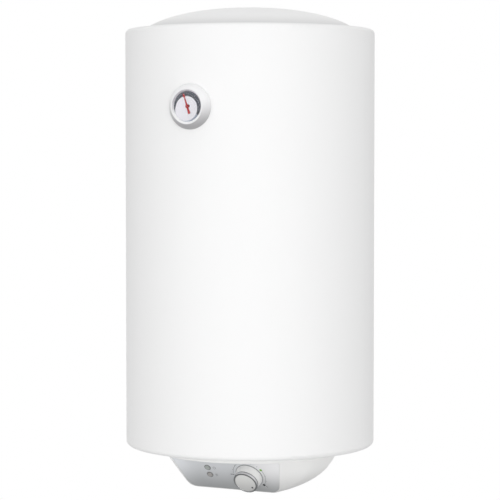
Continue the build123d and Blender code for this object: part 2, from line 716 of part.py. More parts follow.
# Inlet diffuser: slotted cap on the cold spigot that spreads the incoming water
with BuildPart() as inlet_diffuser:
    diffuser_plane = upright(PIPE_OFFSET_X, PIPE_OFFSET_Y)
    diffuser_top = SPIGOT_TOP + DIFFUSER_HEIGHT
    with BuildSketch(diffuser_plane):
        with BuildLine():
            grip = SPIGOT_STUB_RADIUS + SEAT_GAP
            Polyline(
                (grip, SPIGOT_TOP),
                (grip, SPIGOT_TOP - DIFFUSER_RADIUS),
                (DIFFUSER_RADIUS, SPIGOT_TOP - DIFFUSER_RADIUS),
                (DIFFUSER_RADIUS, diffuser_top),
                (0, diffuser_top),
                (0, diffuser_top - DIFFUSER_WALL),
                (DIFFUSER_RADIUS - DIFFUSER_WALL, diffuser_top - DIFFUSER_WALL),
                (DIFFUSER_RADIUS - DIFFUSER_WALL, SPIGOT_TOP + DIFFUSER_WALL),
                (SPIGOT_BORE_RADIUS, SPIGOT_TOP + DIFFUSER_WALL),
                (SPIGOT_BORE_RADIUS, SPIGOT_TOP),
                (grip, SPIGOT_TOP),
            )
        make_face()
    revolve(axis=upright_axis(PIPE_OFFSET_X, PIPE_OFFSET_Y))
    with BuildSketch(diffuser_plane):
        with Locations((0, diffuser_top - DIFFUSER_WALL - DIFFUSER_SLOT_HEIGHT / 2)):
            Rectangle(DIFFUSER_SLOT_WIDTH, DIFFUSER_SLOT_HEIGHT)
    slot_turns = [360.0 / DIFFUSER_SLOTS * i for i in range(DIFFUSER_SLOTS)]
    slot_cut = extrude(amount=2 * DIFFUSER_RADIUS, mode=Mode.PRIVATE)
    for turn in slot_turns:
        add(slot_cut.rotate(upright_axis(PIPE_OFFSET_X, PIPE_OFFSET_Y), turn), mode=Mode.SUBTRACT)


def wall_bracket(height):
    """Slotted wall plate with two legs that reach through the casing to the tank."""
    with BuildSketch(upright(0, -casing_y)) as plate:
        with Locations((0, height)):
            RectangleRounded(
                SLOT_SPACING_X + SLOT_LENGTH + 2 * BRACKET_MARGIN, BRACKET_HEIGHT, BRACKET_CORNER
            )
        with Locations((-SLOT_SPACING_X / 2, height), (SLOT_SPACING_X / 2, height)):
            SlotOverall(SLOT_LENGTH, 2 * SLOT_RADIUS, mode=Mode.SUBTRACT)
    extrude(plate.sketch, amount=BRACKET_PLATE)
    for x in leg_points:
        bracket_leg(x, height, leg_start, 0, Mode.ADD)


with BuildPart() as lower_wall_bracket:
    wall_bracket(bracket_heights[0])

with BuildPart() as upper_wall_bracket:
    wall_bracket(bracket_heights[1])

# Planes and points of the control cover
tilt = radians(PANEL_TILT)
lip_bottom = base_face - COVER_LIP_HEIGHT
panel_normal = (0, -cos(tilt), -sin(tilt))
panel_plane = Plane(
    origin=at(0, PANEL_FOOT_Y, PANEL_FOOT_HEIGHT), x_dir=(1, 0, 0), z_dir=panel_normal
)
flare = radians(FACET_FLARE)
cover_reach = 2 * COVER_LIP_RADIUS


def up_panel(height):
    """Distance up the facet from its foot to a height."""
    return (height - PANEL_FOOT_HEIGHT) / cos(tilt)


def bowl_section(inset):
    """Half outline of the round bowl, moved inwards by the inset."""
    radius = BOWL_RADIUS - inset
    top_radius = sqrt(radius**2 - (base_face - BOWL_CENTRE_HEIGHT) ** 2)
    foot = (0, BOWL_CENTRE_HEIGHT - radius)
    with BuildSketch(axial) as section:
        with BuildLine():
            Polyline(foot, (0, base_face), (top_radius, base_face))
            RadiusArc((top_radius, base_face), foot, radius)
        make_face()
    return section.sketch


def flank_plane(side, inset):
    """Plane through one side edge of the facet that flattens the bowl beside it, facing out."""
    edge = Vector(side * sin(flare), -sin(tilt) * cos(flare), cos(tilt) * cos(flare))
    run = Vector(side * sin(radians(FLANK_ANGLE)), cos(radians(FLANK_ANGLE)), 0)
    normal = run.cross(edge).normalized() * side
    corner = Vector(*at(side * FACET_FOOT_HALF_WIDTH, PANEL_FOOT_Y, PANEL_FOOT_HEIGHT))
    return Plane(origin=corner - normal * inset, z_dir=normal)


def cover_trim(inset):
    """Side outline of what the facet, the rising underside and the rear wall cut away."""
    run = sqrt(1 + UNDERSIDE_SLOPE**2)
    shift_y = inset * (1 - sin(tilt) * run) / (cos(tilt) + sin(tilt) * UNDERSIDE_SLOPE)
    foot_y = PANEL_FOOT_Y + shift_y
    foot_z = PANEL_FOOT_HEIGHT + UNDERSIDE_SLOPE * shift_y + inset * run
    back_y = COVER_BACK_Y - inset
    shelf = lip_bottom + inset
    low = PANEL_FOOT_HEIGHT - cover_reach
    with BuildSketch(Plane(origin=at(0, 0, 0), x_dir=(0, 1, 0), z_dir=(1, 0, 0))) as side:
        with BuildLine():
            Polyline(
                (foot_y - tan(tilt) * (shelf - foot_z), shelf),
                (foot_y, foot_z),
                (back_y, foot_z + UNDERSIDE_SLOPE * (back_y - foot_y)),
                (back_y, cover_reach),
                (cover_reach, cover_reach),
                (cover_reach, low),
                (-cover_reach, low),
                (-cover_reach, shelf),
                (foot_y - tan(tilt) * (shelf - foot_z), shelf),
            )
        make_face()
    return side.sketch


def shared_edges(some_faces, other_faces):
    """Edges that two groups of faces have in common."""
    others = other_faces.edges()
    return [edge for edge in some_faces.edges() if any(edge.is_same(other) for other in others)]


def cover_form(inset):
    """Bowl with its lip, cut by the flanks, the facet, the underside and the rear wall."""
    revolve(bowl_section(inset).faces(), axis=tank_axis)
    for side in (-1, 1):
        split(bisect_by=flank_plane(side, inset), keep=Keep.BOTTOM)
    flanks = faces().filter_by(GeomType.PLANE).filter_by(Axis.Z, reverse=True)
    bowl = faces().filter_by(GeomType.SPHERE)
    fillet(shared_edges(flanks, bowl), FLANK_FILLET - inset)
    round_bar(0, 0, lip_bottom + inset, base_face, COVER_LIP_RADIUS - inset)
    extrude(cover_trim(inset), amount=cover_reach, both=True, mode=Mode.SUBTRACT)
    underside = faces().filter_by(GeomType.PLANE).sort_by(Axis.Z)[:1]
    rim = [edge for edge in underside.edges() if abs(edge.tangent_at(0.5).X) < 0.9]
    fillet(rim, UNDERSIDE_FILLET - inset)


# Space inside the cover, less the two screw bosses
with BuildPart() as cover_space:
    cover_form(COVER_WALL)
    for x, y in boss_points:
        round_bar(x, y, PANEL_FOOT_HEIGHT, base_face, BOSS_RADIUS, Mode.SUBTRACT)

lamp_points = [(LAMP_X, up_panel(UPPER_LAMP_HEIGHT)), (LAMP_X, up_panel(LOWER_LAMP_HEIGHT))]
knob_point = (KNOB_X, up_panel(KNOB_HEIGHT))
bush_hole_radius = THERMOSTAT_BUSH_RADIUS + SEAT_GAP
lamp_hole_radius = LAMP_RADIUS + SEAT_GAP


def panel_outline(grow):
    """Outline of the silver insert on the facet: flared sides, round lower corners."""
    foot = PANEL_FOOT_BORDER - grow
    head = up_panel(lip_bottom) - PANEL_TOP_GAP + grow
    border = (PANEL_BORDER - grow) / cos(flare)
    foot_half = FACET_FOOT_HALF_WIDTH + foot * tan(flare) - border
    head_half = FACET_FOOT_HALF_WIDTH + head * tan(flare) - border
    with BuildSketch(panel_plane) as outline:
        with BuildLine():
            Polyline(
                (-foot_half, foot),
                (foot_half, foot),
                (head_half, head),
                (-head_half, head),
                (-foot_half, foot),
            )
        make_face()
        fillet(outline.vertices().group_by(Axis.Y)[0], PANEL_CORNER + grow)
    return outline.sketch


# Control cover: moulded bowl with bosses, a recess for the panel and holes for the controls
with BuildPart() as control_cover:
    cover_form(0)
    add(cover_space.part, mode=Mode.SUBTRACT)
    extrude(panel_outline(PANEL_GAP), amount=-PANEL_INSERT, mode=Mode.SUBTRACT)
    with BuildSketch(panel_plane):
        with Locations(lamp_points):
            Circle(lamp_hole_radius)
        with Locations(knob_point):
            Circle(bush_hole_radius)
    extrude(amount=-2 * COVER_WALL, mode=Mode.SUBTRACT)
    for x, y in boss_points:
        counterbore = COVER_SCREW_HEAD_RADIUS + SCREW_CLEARANCE
        round_bar(x, y, PANEL_FOOT_HEIGHT, COVER_SCREW_SEAT, counterbore, Mode.SUBTRACT)
        round_bar(x, y, COVER_SCREW_SEAT, base_face, cover_screw_hole, Mode.SUBTRACT)
    with BuildSketch(upright(0, COVER_BACK_Y)):
        with Locations((0, GLAND_HEIGHT)):
            Circle(GLAND_THREAD_RADIUS + SCREW_CLEARANCE)
    extrude(amount=2 * COVER_WALL, mode=Mode.SUBTRACT)

with BuildPart() as cover_screws:
    for x, y in boss_points:
        screw_head = COVER_SCREW_SEAT - COVER_SCREW_HEAD_HEIGHT
        round_bar(x, y, screw_head, COVER_SCREW_SEAT, COVER_SCREW_HEAD_RADIUS)
        round_bar(x, y, COVER_SCREW_SEAT, screw_end, COVER_SCREW_RADIUS)

# Silver panel insert, set flush in the facet
with BuildPart() as control_panel:
    extrude(panel_outline(0), amount=-PANEL_INSERT)
    with BuildSketch(panel_plane):
        with Locations(lamp_points):
            Circle(lamp_hole_radius)
        with Locations(knob_point):
            Circle(bush_hole_radius)
    extrude(amount=-2 * COVER_WALL, mode=Mode.SUBTRACT)


def panel_spot(point):
    """Plane on the facet's surface at a point of the panel, facing out."""
    return Plane(origin=panel_plane.from_local_coords(point), x_dir=(1, 0, 0), z_dir=panel_normal)


def turned(spot, outline):
    """Solid of revolution about a spot's normal from (radius, height) points."""
    with BuildSketch(Plane(origin=spot.origin, x_dir=spot.x_dir, z_dir=-spot.y_dir)) as section:
        with BuildLine():
            Polyline(*outline, outline[0])
        make_face()
    return revolve(section.sketch.faces(), axis=Axis(spot.origin, spot.z_dir))


def lamp(point):
    """Lens with a low dome, held by a collar behind the facet."""
    with BuildPart() as lens:
        turned(
            panel_spot(point),
            [
                (0, -COVER_WALL - LAMP_COLLAR),
                (LAMP_COLLAR_RADIUS, -COVER_WALL - LAMP_COLLAR),
                (LAMP_COLLAR_RADIUS, -COVER_WALL),
                (LAMP_RADIUS, -COVER_WALL),
                (LAMP_RADIUS, LAMP_PROUD),
                (0, LAMP_PROUD),
            ],
        )
        front = edges().filter_by(GeomType.CIRCLE).sort_by(Axis(panel_spot(point).origin, panel_normal))[-1]
        fillet(front, LAMP_ROUND)
    return lens


power_lamp = lamp(lamp_points[0])
heating_lamp = lamp(lamp_points[1])

# Lamp holders: a socket behind each lens
with BuildPart() as lamp_holders:
    holder_face = panel_plane.offset(-COVER_WALL - LAMP_COLLAR)
    with BuildSketch(holder_face):
        with Locations(lamp_points):
            Circle(LAMP_HOLDER_RADIUS)
    extrude(amount=-LAMP_HOLDER_LENGTH)

# Knob: hollow tapered body, bright trim ring and satin cap, on the thermostat's spindle
knob_spot = panel_spot(knob_point)
neck_top = KNOB_BODY_HEIGHT + KNOB_NECK_HEIGHT
socket_radius = SPINDLE_RADIUS + RUNNING_CLEARANCE
with BuildPart() as knob_body:
    turned(
        knob_spot,
        [
            (KNOB_HOLLOW_RADIUS, KNOB_FLOAT),
            (KNOB_BASE_RADIUS, KNOB_FLOAT),
            (KNOB_TOP_RADIUS, KNOB_BODY_HEIGHT),
            (KNOB_NECK_RADIUS, KNOB_BODY_HEIGHT),
            (KNOB_NECK_RADIUS, neck_top),
            (0, neck_top),
            (0, SPINDLE_SOCKET_TOP),
            (socket_radius, SPINDLE_SOCKET_TOP),
            (socket_radius, KNOB_HUB_BOTTOM),
            (KNOB_HUB_RADIUS, KNOB_HUB_BOTTOM),
            (KNOB_HUB_RADIUS, KNOB_HOLLOW_TOP),
            (KNOB_HOLLOW_RADIUS, KNOB_HOLLOW_TOP),
        ],
    )

with BuildPart() as knob_trim_ring:
    turned(
        knob_spot,
        [
            (TRIM_RING_BORE, neck_top),
            (TRIM_RING_RADIUS, neck_top),
            (TRIM_RING_RADIUS, neck_top + TRIM_RING_HEIGHT),
            (TRIM_RING_BORE, neck_top + TRIM_RING_HEIGHT),
        ],
    )
    fillet(edges().filter_by(GeomType.CIRCLE), TRIM_RING_ROUND)

with BuildPart() as knob_cap:
    cap_radius = TRIM_RING_BORE - SEAT_GAP
    cap_top = neck_top + KNOB_CAP_HEIGHT
    turned(knob_spot, [(0, neck_top), (cap_radius, neck_top), (cap_radius, cap_top), (0, cap_top)])
    rim = edges().filter_by(GeomType.CIRCLE).sort_by(Axis(knob_spot.origin, panel_normal))[-1]
    fillet(rim, KNOB_CAP_EDGE)
    with BuildSketch(knob_spot.offset(cap_top)):
        with PolarLocations(POINTER_OFFSET, 1, start_angle=POINTER_ANGLE):
            Circle(POINTER_RADIUS)
    extrude(amount=-POINTER_DEPTH, mode=Mode.SUBTRACT)

with BuildPart() as thermostat_spindle:
    with BuildSketch(knob_spot.offset(-SPINDLE_DEPTH)):
        Circle(SPINDLE_RADIUS)
    extrude(amount=SPINDLE_DEPTH + SPINDLE_SOCKET_TOP - SEAT_GAP)

# Thermostat: square body behind the facet, with a bush through the panel
with BuildPart() as thermostat_body:
    with BuildSketch(knob_spot.offset(-COVER_WALL)):
        RectangleRounded(THERMOSTAT_SIDE, THERMOSTAT_SIDE, THERMOSTAT_CORNER)
    extrude(amount=-THERMOSTAT_DEPTH)
    with BuildSketch(knob_spot.offset(-COVER_WALL)):
        Circle(THERMOSTAT_BUSH_RADIUS)
    extrude(amount=COVER_WALL + THERMOSTAT_BUSH_PROUD)
    with BuildSketch(knob_spot.offset(THERMOSTAT_BUSH_PROUD)):
        Circle(socket_radius)
    extrude(amount=-(THERMOSTAT_BUSH_PROUD + SPINDLE_DEPTH + SEAT_GAP), mode=Mode.SUBTRACT)


def bent_wire(points, radius, bend):
    """Round wire along straight runs joined by tangent arcs."""
    with BuildLine() as route:
        FilletPolyline(*points, radius=bend)
    start = Plane(origin=route.line @ 0, z_dir=route.line % 0)
    with BuildSketch(start) as section:
        Circle(radius)
    sweep(section.sketch, path=route.line)


# Capillary: from the thermostat's back to the feeler in its pocket
with BuildPart() as thermostat_capillary:
    thermostat_back = COVER_WALL + THERMOSTAT_DEPTH
    bent_wire(
        [
            knob_spot.from_local_coords((0, 0, -thermostat_back)),
            knob_spot.from_local_coords((0, 0, -thermostat_back - CAPILLARY_RUN)),
            at(0, POCKET_OFFSET, CAPILLARY_DIP),
            at(0, POCKET_OFFSET, FEELER_BOTTOM),
        ],
        CAPILLARY_RADIUS,
        CAPILLARY_BEND,
    )
    round_bar(0, POCKET_OFFSET, FEELER_BOTTOM, FEELER_BOTTOM + FEELER_LENGTH, FEELER_RADIUS)

# Safety cut-out under the base plate, with its manual reset button
cutout_face = base_face - CUTOUT_HEIGHT
chamber_bottom = cutout_face + BUTTON_GUIDE
button_collar_bottom = chamber_bottom + RUNNING_CLEARANCE
chamber_top = button_collar_bottom + BUTTON_COLLAR + BUTTON_TRAVEL + BUTTON_CHAMBER_SPARE
with BuildPart() as thermal_cutout:
    round_bar(CUTOUT_X, CUTOUT_Y, cutout_face, base_face, CUTOUT_RADIUS)
    guide_radius = BUTTON_RADIUS + SEAT_GAP
    chamber_radius = BUTTON_COLLAR_RADIUS + SEAT_GAP
    round_bar(CUTOUT_X, CUTOUT_Y, cutout_face, chamber_bottom, guide_radius, Mode.SUBTRACT)
    round_bar(CUTOUT_X, CUTOUT_Y, chamber_bottom, chamber_top, chamber_radius, Mode.SUBTRACT)

with BuildPart() as reset_button:
    button_end = cutout_face - BUTTON_PROUD
    round_bar(CUTOUT_X, CUTOUT_Y, button_end, button_collar_bottom + BUTTON_COLLAR, BUTTON_RADIUS)
    fillet(edges().filter_by(GeomType.CIRCLE).sort_by(Axis.Z)[0], BUTTON_ROUND)
    collar_top = button_collar_bottom + BUTTON_COLLAR
    round_bar(CUTOUT_X, CUTOUT_Y, button_collar_bottom, collar_top, BUTTON_COLLAR_RADIUS)

# Terminal block under the base plate, with a screw well for each way
terminal_face = base_face - TERMINAL_HEIGHT
way_pitch = TERMINAL_LENGTH / TERMINAL_WAYS
way_points = [TERMINAL_Y + way_pitch * (i - (TERMINAL_WAYS - 1) / 2) for i in range(TERMINAL_WAYS)]
with BuildPart() as terminal_block:
    with BuildSketch(level(terminal_face, TERMINAL_X, TERMINAL_Y)):
        Rectangle(TERMINAL_WIDTH, TERMINAL_LENGTH)
    extrude(amount=TERMINAL_HEIGHT)
    for way_y in way_points:
        well_top = terminal_face + TERMINAL_SCREW_DEPTH
        round_bar(TERMINAL_X, way_y, terminal_face, well_top, TERMINAL_SCREW_RADIUS, Mode.SUBTRACT)

# Leads from the terminal block to the heaters and to the earth screw
lead_start_x = TERMINAL_X + TERMINAL_WIDTH / 2
lead_height = base_face - TERMINAL_HEIGHT / 2
pin_end = element_face - ELEMENT_PIN_LENGTH


def heater_lead(way_y, pin_x, pin_y, dip):
    """Insulated lead from one way of the terminal block down and across to a heater pin."""
    bent_wire(
        [
            at(lead_start_x, way_y, lead_height),
            at(lead_start_x + LEAD_EXIT, way_y, lead_height),
            at(lead_start_x + LEAD_REACH, pin_y, pin_end - dip),
            at(pin_x, pin_y, pin_end - dip),
            at(pin_x, pin_y, pin_end),
        ],
        LEAD_RADIUS,
        LEAD_BEND,
    )


with BuildPart() as heater_lead_left:
    heater_lead(way_points[1], -FLASK_OFFSET, -ELEMENT_PIN_SPACING / 2, LEAD_DROP)

with BuildPart() as heater_lead_right:
    heater_lead(way_points[2], FLASK_OFFSET, ELEMENT_PIN_SPACING / 2, LEAD_DROP)

with BuildPart() as earth_screw:
    round_bar(EARTH_X, EARTH_Y, base_face - EARTH_HEAD_HEIGHT, base_face, EARTH_HEAD_RADIUS)
    round_bar(EARTH_X, EARTH_Y, base_face, screw_end, EARTH_SCREW_RADIUS)

with BuildPart() as earth_lead:
    earth_head = base_face - EARTH_HEAD_HEIGHT
    bent_wire(
        [
            at(lead_start_x, way_points[0], lead_height),
            at(EARTH_X, way_points[0], lead_height),
            at(EARTH_X, EARTH_Y, earth_head - EARTH_LEAD_RISE),
            at(EARTH_X, EARTH_Y, earth_head),
        ],
        LEAD_RADIUS,
        EARTH_LEAD_BEND,
    )

# Cable gland in the cover's rear wall: threaded body, lock nut inside, dome nut outside
gland_spot = Plane(origin=at(0, COVER_BACK_Y, GLAND_HEIGHT), x_dir=(1, 0, 0), z_dir=(0, 1, 0))
gland_inner = -(COVER_WALL + GLAND_LOCKNUT + GLAND_THREAD_SPARE)
gland_outer = GLAND_FLANGE + GLAND_THREAD_OUT
with BuildPart() as cable_gland:
    with BuildSketch(gland_spot.offset(gland_inner)):
        Circle(GLAND_THREAD_RADIUS)
    extrude(amount=gland_outer - gland_inner)
    with BuildSketch(gland_spot):
        RegularPolygon(GLAND_FLATS / 2, 6, major_radius=False, rotation=30)
    extrude(amount=GLAND_FLANGE)
    with BuildSketch(gland_spot.offset(gland_inner)):
        Circle(GLAND_BORE_RADIUS)
    extrude(amount=gland_outer - gland_inner, mode=Mode.SUBTRACT)

with BuildPart() as gland_locknut:
    with BuildSketch(gland_spot.offset(-COVER_WALL)):
        RegularPolygon(GLAND_FLATS / 2, 6, major_radius=False, rotation=30)
        Circle(GLAND_THREAD_RADIUS + RUNNING_CLEARANCE, mode=Mode.SUBTRACT)
    extrude(amount=-GLAND_LOCKNUT)

with BuildPart() as gland_nut:
    nut_bore = GLAND_THREAD_RADIUS + RUNNING_CLEARANCE
    nut_front = GLAND_FLANGE + GLAND_NUT_LENGTH
    turned(
        gland_spot,
        [
            (nut_bore, GLAND_FLANGE),
            (GLAND_NUT_RADIUS, GLAND_FLANGE),
            (GLAND_NUT_RADIUS, nut_front - GLAND_NUT_ROUND),
            (GLAND_NUT_RADIUS - GLAND_NUT_ROUND, nut_front),
            (GLAND_BORE_RADIUS, nut_front),
            (GLAND_BORE_RADIUS, gland_outer + SEAT_GAP),
            (nut_bore, gland_outer + SEAT_GAP),
        ],
    )

# Thermometer: heights along its axis are distances outwards from the tank's axis
gauge_spot = Plane(origin=at(0, 0, GAUGE_HEIGHT), x_dir=(1, 0, 0), z_dir=(0, -1, 0))
front_height = casing_radius + GAUGE_PROUD
dial_height = front_height - DIAL_RECESS
dial_seat_height = dial_height - DIAL_THICKNESS
window_height = front_height - WINDOW_RECESS
window_seat_height = window_height - WINDOW_THICKNESS
dial_bore = DIAL_RADIUS + SEAT_GAP
saddle_drop = casing_radius - sqrt(casing_radius**2 - BEZEL_BASE_RADIUS**2)
gauge_section = Plane(origin=gauge_spot.origin, x_dir=gauge_spot.x_dir, z_dir=-gauge_spot.y_dir)
gauge_axis = Axis(gauge_spot.origin, gauge_spot.z_dir)
with BuildPart() as thermometer_bezel:
    with BuildSketch(gauge_section):
        with BuildLine():
            outer_foot = (BEZEL_BASE_RADIUS, casing_radius + BEZEL_STRAIGHT)
            Polyline(
                (BEZEL_FRONT_RADIUS, front_height),
                (BEZEL_OPENING_RADIUS, front_height),
                (BEZEL_OPENING_RADIUS, window_seat_height),
                (BEZEL_OPENING_RADIUS - WINDOW_SEAT, window_seat_height),
                (BEZEL_LIP_RADIUS, dial_height),
                (dial_bore, dial_height),
                (dial_bore, casing_radius - saddle_drop),
                (BEZEL_BASE_RADIUS, casing_radius - saddle_drop),
                outer_foot,
            )
            RadiusArc(outer_foot, (BEZEL_FRONT_RADIUS, front_height), -BEZEL_BULGE)
        make_face()
    revolve(axis=gauge_axis)
    # saddle that fits the casing's round wall
    round_bar(0, 0, 0, CASING_HEIGHT, casing_radius + SEAT_GAP, Mode.SUBTRACT)

with BuildPart() as thermometer_window:
    with BuildSketch(gauge_spot.offset(window_seat_height)):
        Circle(BEZEL_OPENING_RADIUS - SEAT_GAP)
    extrude(amount=WINDOW_THICKNESS)

with BuildPart() as thermometer_dial:
    with BuildSketch(gauge_spot.offset(dial_seat_height)):
        Circle(DIAL_RADIUS)
        Circle(ARBOR_RADIUS + ARBOR_CLEARANCE, mode=Mode.SUBTRACT)
    extrude(amount=DIAL_THICKNESS)

with BuildPart() as thermometer_case:
    with BuildSketch(gauge_spot.offset(dial_seat_height)):
        Circle(CASE_RADIUS)
    extrude(amount=-CASE_DEPTH)
    with BuildSketch(gauge_spot.offset(dial_seat_height)):
        Circle(CASE_RADIUS - CASE_WALL)
    extrude(amount=CASE_WALL - CASE_DEPTH, mode=Mode.SUBTRACT)

with BuildPart() as thermometer_stem:
    with BuildSketch(gauge_spot.offset(tank_radius + SEAT_GAP)):
        Circle(STEM_RADIUS)
    extrude(amount=dial_seat_height - CASE_DEPTH - tank_radius - SEAT_GAP)

# Needle: tapered pointer with a counterweight tail, on an arbor through the dial
with BuildPart() as thermometer_needle:
    lean = radians(NEEDLE_ANGLE)
    needle_spot = Plane(
        origin=gauge_spot.offset(dial_height + NEEDLE_LIFT).origin,
        x_dir=(cos(lean), 0, sin(lean)),
        z_dir=gauge_spot.z_dir,
    )
    with BuildSketch(needle_spot):
        with BuildLine():
            shoulder = NEEDLE_LENGTH - NEEDLE_POINT_LENGTH
            right_side = [
                (NEEDLE_TAIL_WIDTH / 2, -NEEDLE_TAIL),
                (NEEDLE_WAIST, 0),
                (NEEDLE_NECK, shoulder),
                (NEEDLE_POINT_WIDTH / 2, shoulder),
                (NEEDLE_TIP, NEEDLE_LENGTH),
            ]
            left_side = [(-x, y) for x, y in reversed(right_side)]
            Polyline(*right_side, *left_side, right_side[0])
        make_face()
    extrude(amount=NEEDLE_THICKNESS)
    with BuildSketch(needle_spot):
        Circle(NEEDLE_HUB_RADIUS)
    extrude(amount=NEEDLE_THICKNESS + NEEDLE_HUB_RISE)
    with BuildSketch(needle_spot):
        Circle(ARBOR_RADIUS)
    extrude(amount=-(NEEDLE_LIFT + DIAL_THICKNESS + ARBOR_DEPTH))

pieces = {
    "outer_casing": outer_casing,
    "top_cap": top_cap,
    "bottom_cap": bottom_cap,
    "insulation_foam": insulation_foam,
    "tank_shell": tank_shell,
    "tank_top_head": tank_top_head,
    "tank_bottom_head": tank_bottom_head,
    "flange_neck": flange_neck,
    "flange_gasket": flange_gasket,
    "flange_plate": flange_plate,
    "flange_nuts": flange_nuts,
    "heater_flask_left": heater_flask_left,
    "heater_flask_right": heater_flask_right,
    "ceramic_heater_left": ceramic_heater_left,
    "ceramic_heater_right": ceramic_heater_right,
    "anode_rod": anode_rod,
    "sensor_pocket": sensor_pocket,
    "cold_spigot": cold_spigot,
    "hot_spigot": hot_spigot,
    "cold_collar": cold_collar,
    "hot_collar": hot_collar,
    "hot_outlet_tube": hot_outlet_tube,
    "inlet_diffuser": inlet_diffuser,
    "lower_wall_bracket": lower_wall_bracket,
    "upper_wall_bracket": upper_wall_bracket,
    "control_cover": control_cover,
    "cover_screws": cover_screws,
    "control_panel": control_panel,
    "power_lamp": power_lamp,
    "heating_lamp": heating_lamp,
    "lamp_holders": lamp_holders,
    "knob_body": knob_body,
    "knob_trim_ring": knob_trim_ring,
    "knob_cap": knob_cap,
    "thermostat_spindle": thermostat_spindle,
    "thermostat_body": thermostat_body,
    "thermostat_capillary": thermostat_capillary,
    "thermal_cutout": thermal_cutout,
    "reset_button": reset_button,
    "terminal_block": terminal_block,
    "heater_lead_left": heater_lead_left,
    "heater_lead_right": heater_lead_right,
    "earth_screw": earth_screw,
    "earth_lead": earth_lead,
    "cable_gland": cable_gland,
    "gland_locknut": gland_locknut,
    "gland_nut": gland_nut,
    "thermometer_bezel": thermometer_bezel,
    "thermometer_window": thermometer_window,
    "thermometer_dial": thermometer_dial,
    "thermometer_case": thermometer_case,
    "thermometer_stem": thermometer_stem,
    "thermometer_needle": thermometer_needle,
}
for name, piece in pieces.items():
    piece.part.label = name
    export_step(piece.part, f"parts/{name}.step")
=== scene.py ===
"""Finishes, prints, threads and studio for a wall-hung tank water heater.

All lengths are in metres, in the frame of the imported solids: the wall is the plane y = 0,
the heater's front looks along -Y, and +Z is up.
"""

import logging
import math
from collections.abc import Iterable
from dataclasses import dataclass
from enum import Enum
from functools import cache

import bmesh
import bpy
from mathutils import Matrix, Vector


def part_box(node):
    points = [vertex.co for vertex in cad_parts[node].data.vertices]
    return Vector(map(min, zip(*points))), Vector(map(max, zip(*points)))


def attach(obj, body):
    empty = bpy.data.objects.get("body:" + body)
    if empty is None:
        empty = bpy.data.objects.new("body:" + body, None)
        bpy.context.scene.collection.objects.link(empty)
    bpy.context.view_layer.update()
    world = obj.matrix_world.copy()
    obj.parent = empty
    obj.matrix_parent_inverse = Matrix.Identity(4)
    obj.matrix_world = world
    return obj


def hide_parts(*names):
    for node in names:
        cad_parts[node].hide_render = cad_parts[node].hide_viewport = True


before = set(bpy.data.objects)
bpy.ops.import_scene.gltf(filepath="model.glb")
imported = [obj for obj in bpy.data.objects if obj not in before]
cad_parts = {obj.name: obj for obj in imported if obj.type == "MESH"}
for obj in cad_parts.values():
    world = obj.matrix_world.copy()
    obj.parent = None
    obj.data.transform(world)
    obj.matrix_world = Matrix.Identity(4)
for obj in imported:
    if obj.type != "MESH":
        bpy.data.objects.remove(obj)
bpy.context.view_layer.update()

LOG = logging.getLogger("water_heater")

# Soft clouds and fine grain in every opaque finish: cells per metre, octaves, share of the swing
CLOUD_SCALE = 14.0
CLOUD_DETAIL = 3.0
CLOUD_SHARE = 0.6
GRAIN_DETAIL = 2.0

# Rubbed edges: patches per metre, octaves, and the sharpness at which wear begins and is full
PATCH_SCALE = 130.0
PATCH_DETAIL = 3.0
WEAR_BEGINS = 0.52
WEAR_FULL = 0.60

# Smears on glass: cells per metre, octaves, and the noise between which the roughness doubles
SMEAR_SCALE = 60.0
SMEAR_DETAIL = 3.0
SMEAR_LOW = 0.3
SMEAR_HIGH = 0.8

# Fineness of meshes
SHARP_ANGLE = math.radians(35.0)
TURNED_STEPS = 96
SMALL_TURNED_STEPS = 48
DOT_STEPS = 32

Colour = tuple[float, float, float]
Point = tuple[float, float, float]
Pair = tuple[float, float]
Outline = list[Pair]
Socket = bpy.types.NodeSocket
Mesh = bmesh.types.BMesh


class Body(Enum):
    """Rigid bodies that pieces ride on."""

    HEATER = "heater"
    KNOB = "temperature_knob"
    POINTER = "thermometer_pointer"


class Grain(Enum):
    """Ways in which a surface's fine structure runs."""

    EVEN = (1.0, 1.0, 1.0)
    ALONG_X = (0.03, 1.0, 1.0)


def srgb(red: int, green: int, blue: int) -> Colour:
    """Turn a colour as it looks on screen into linear light.

    Args:
        red: Red from 0 to 255.
        green: Green from 0 to 255.
        blue: Blue from 0 to 255.

    Returns:
        The linear red, green and blue.
    """

    def linear(level: int) -> float:
        """Linear light of one channel."""
        share = level / 255.0
        return share / 12.92 if share <= 0.04045 else ((share + 0.055) / 1.055) ** 2.4

    return linear(red), linear(green), linear(blue)


def grey(level: int) -> Colour:
    """Linear grey of a level from 0 to 255 on screen."""
    return srgb(level, level, level)


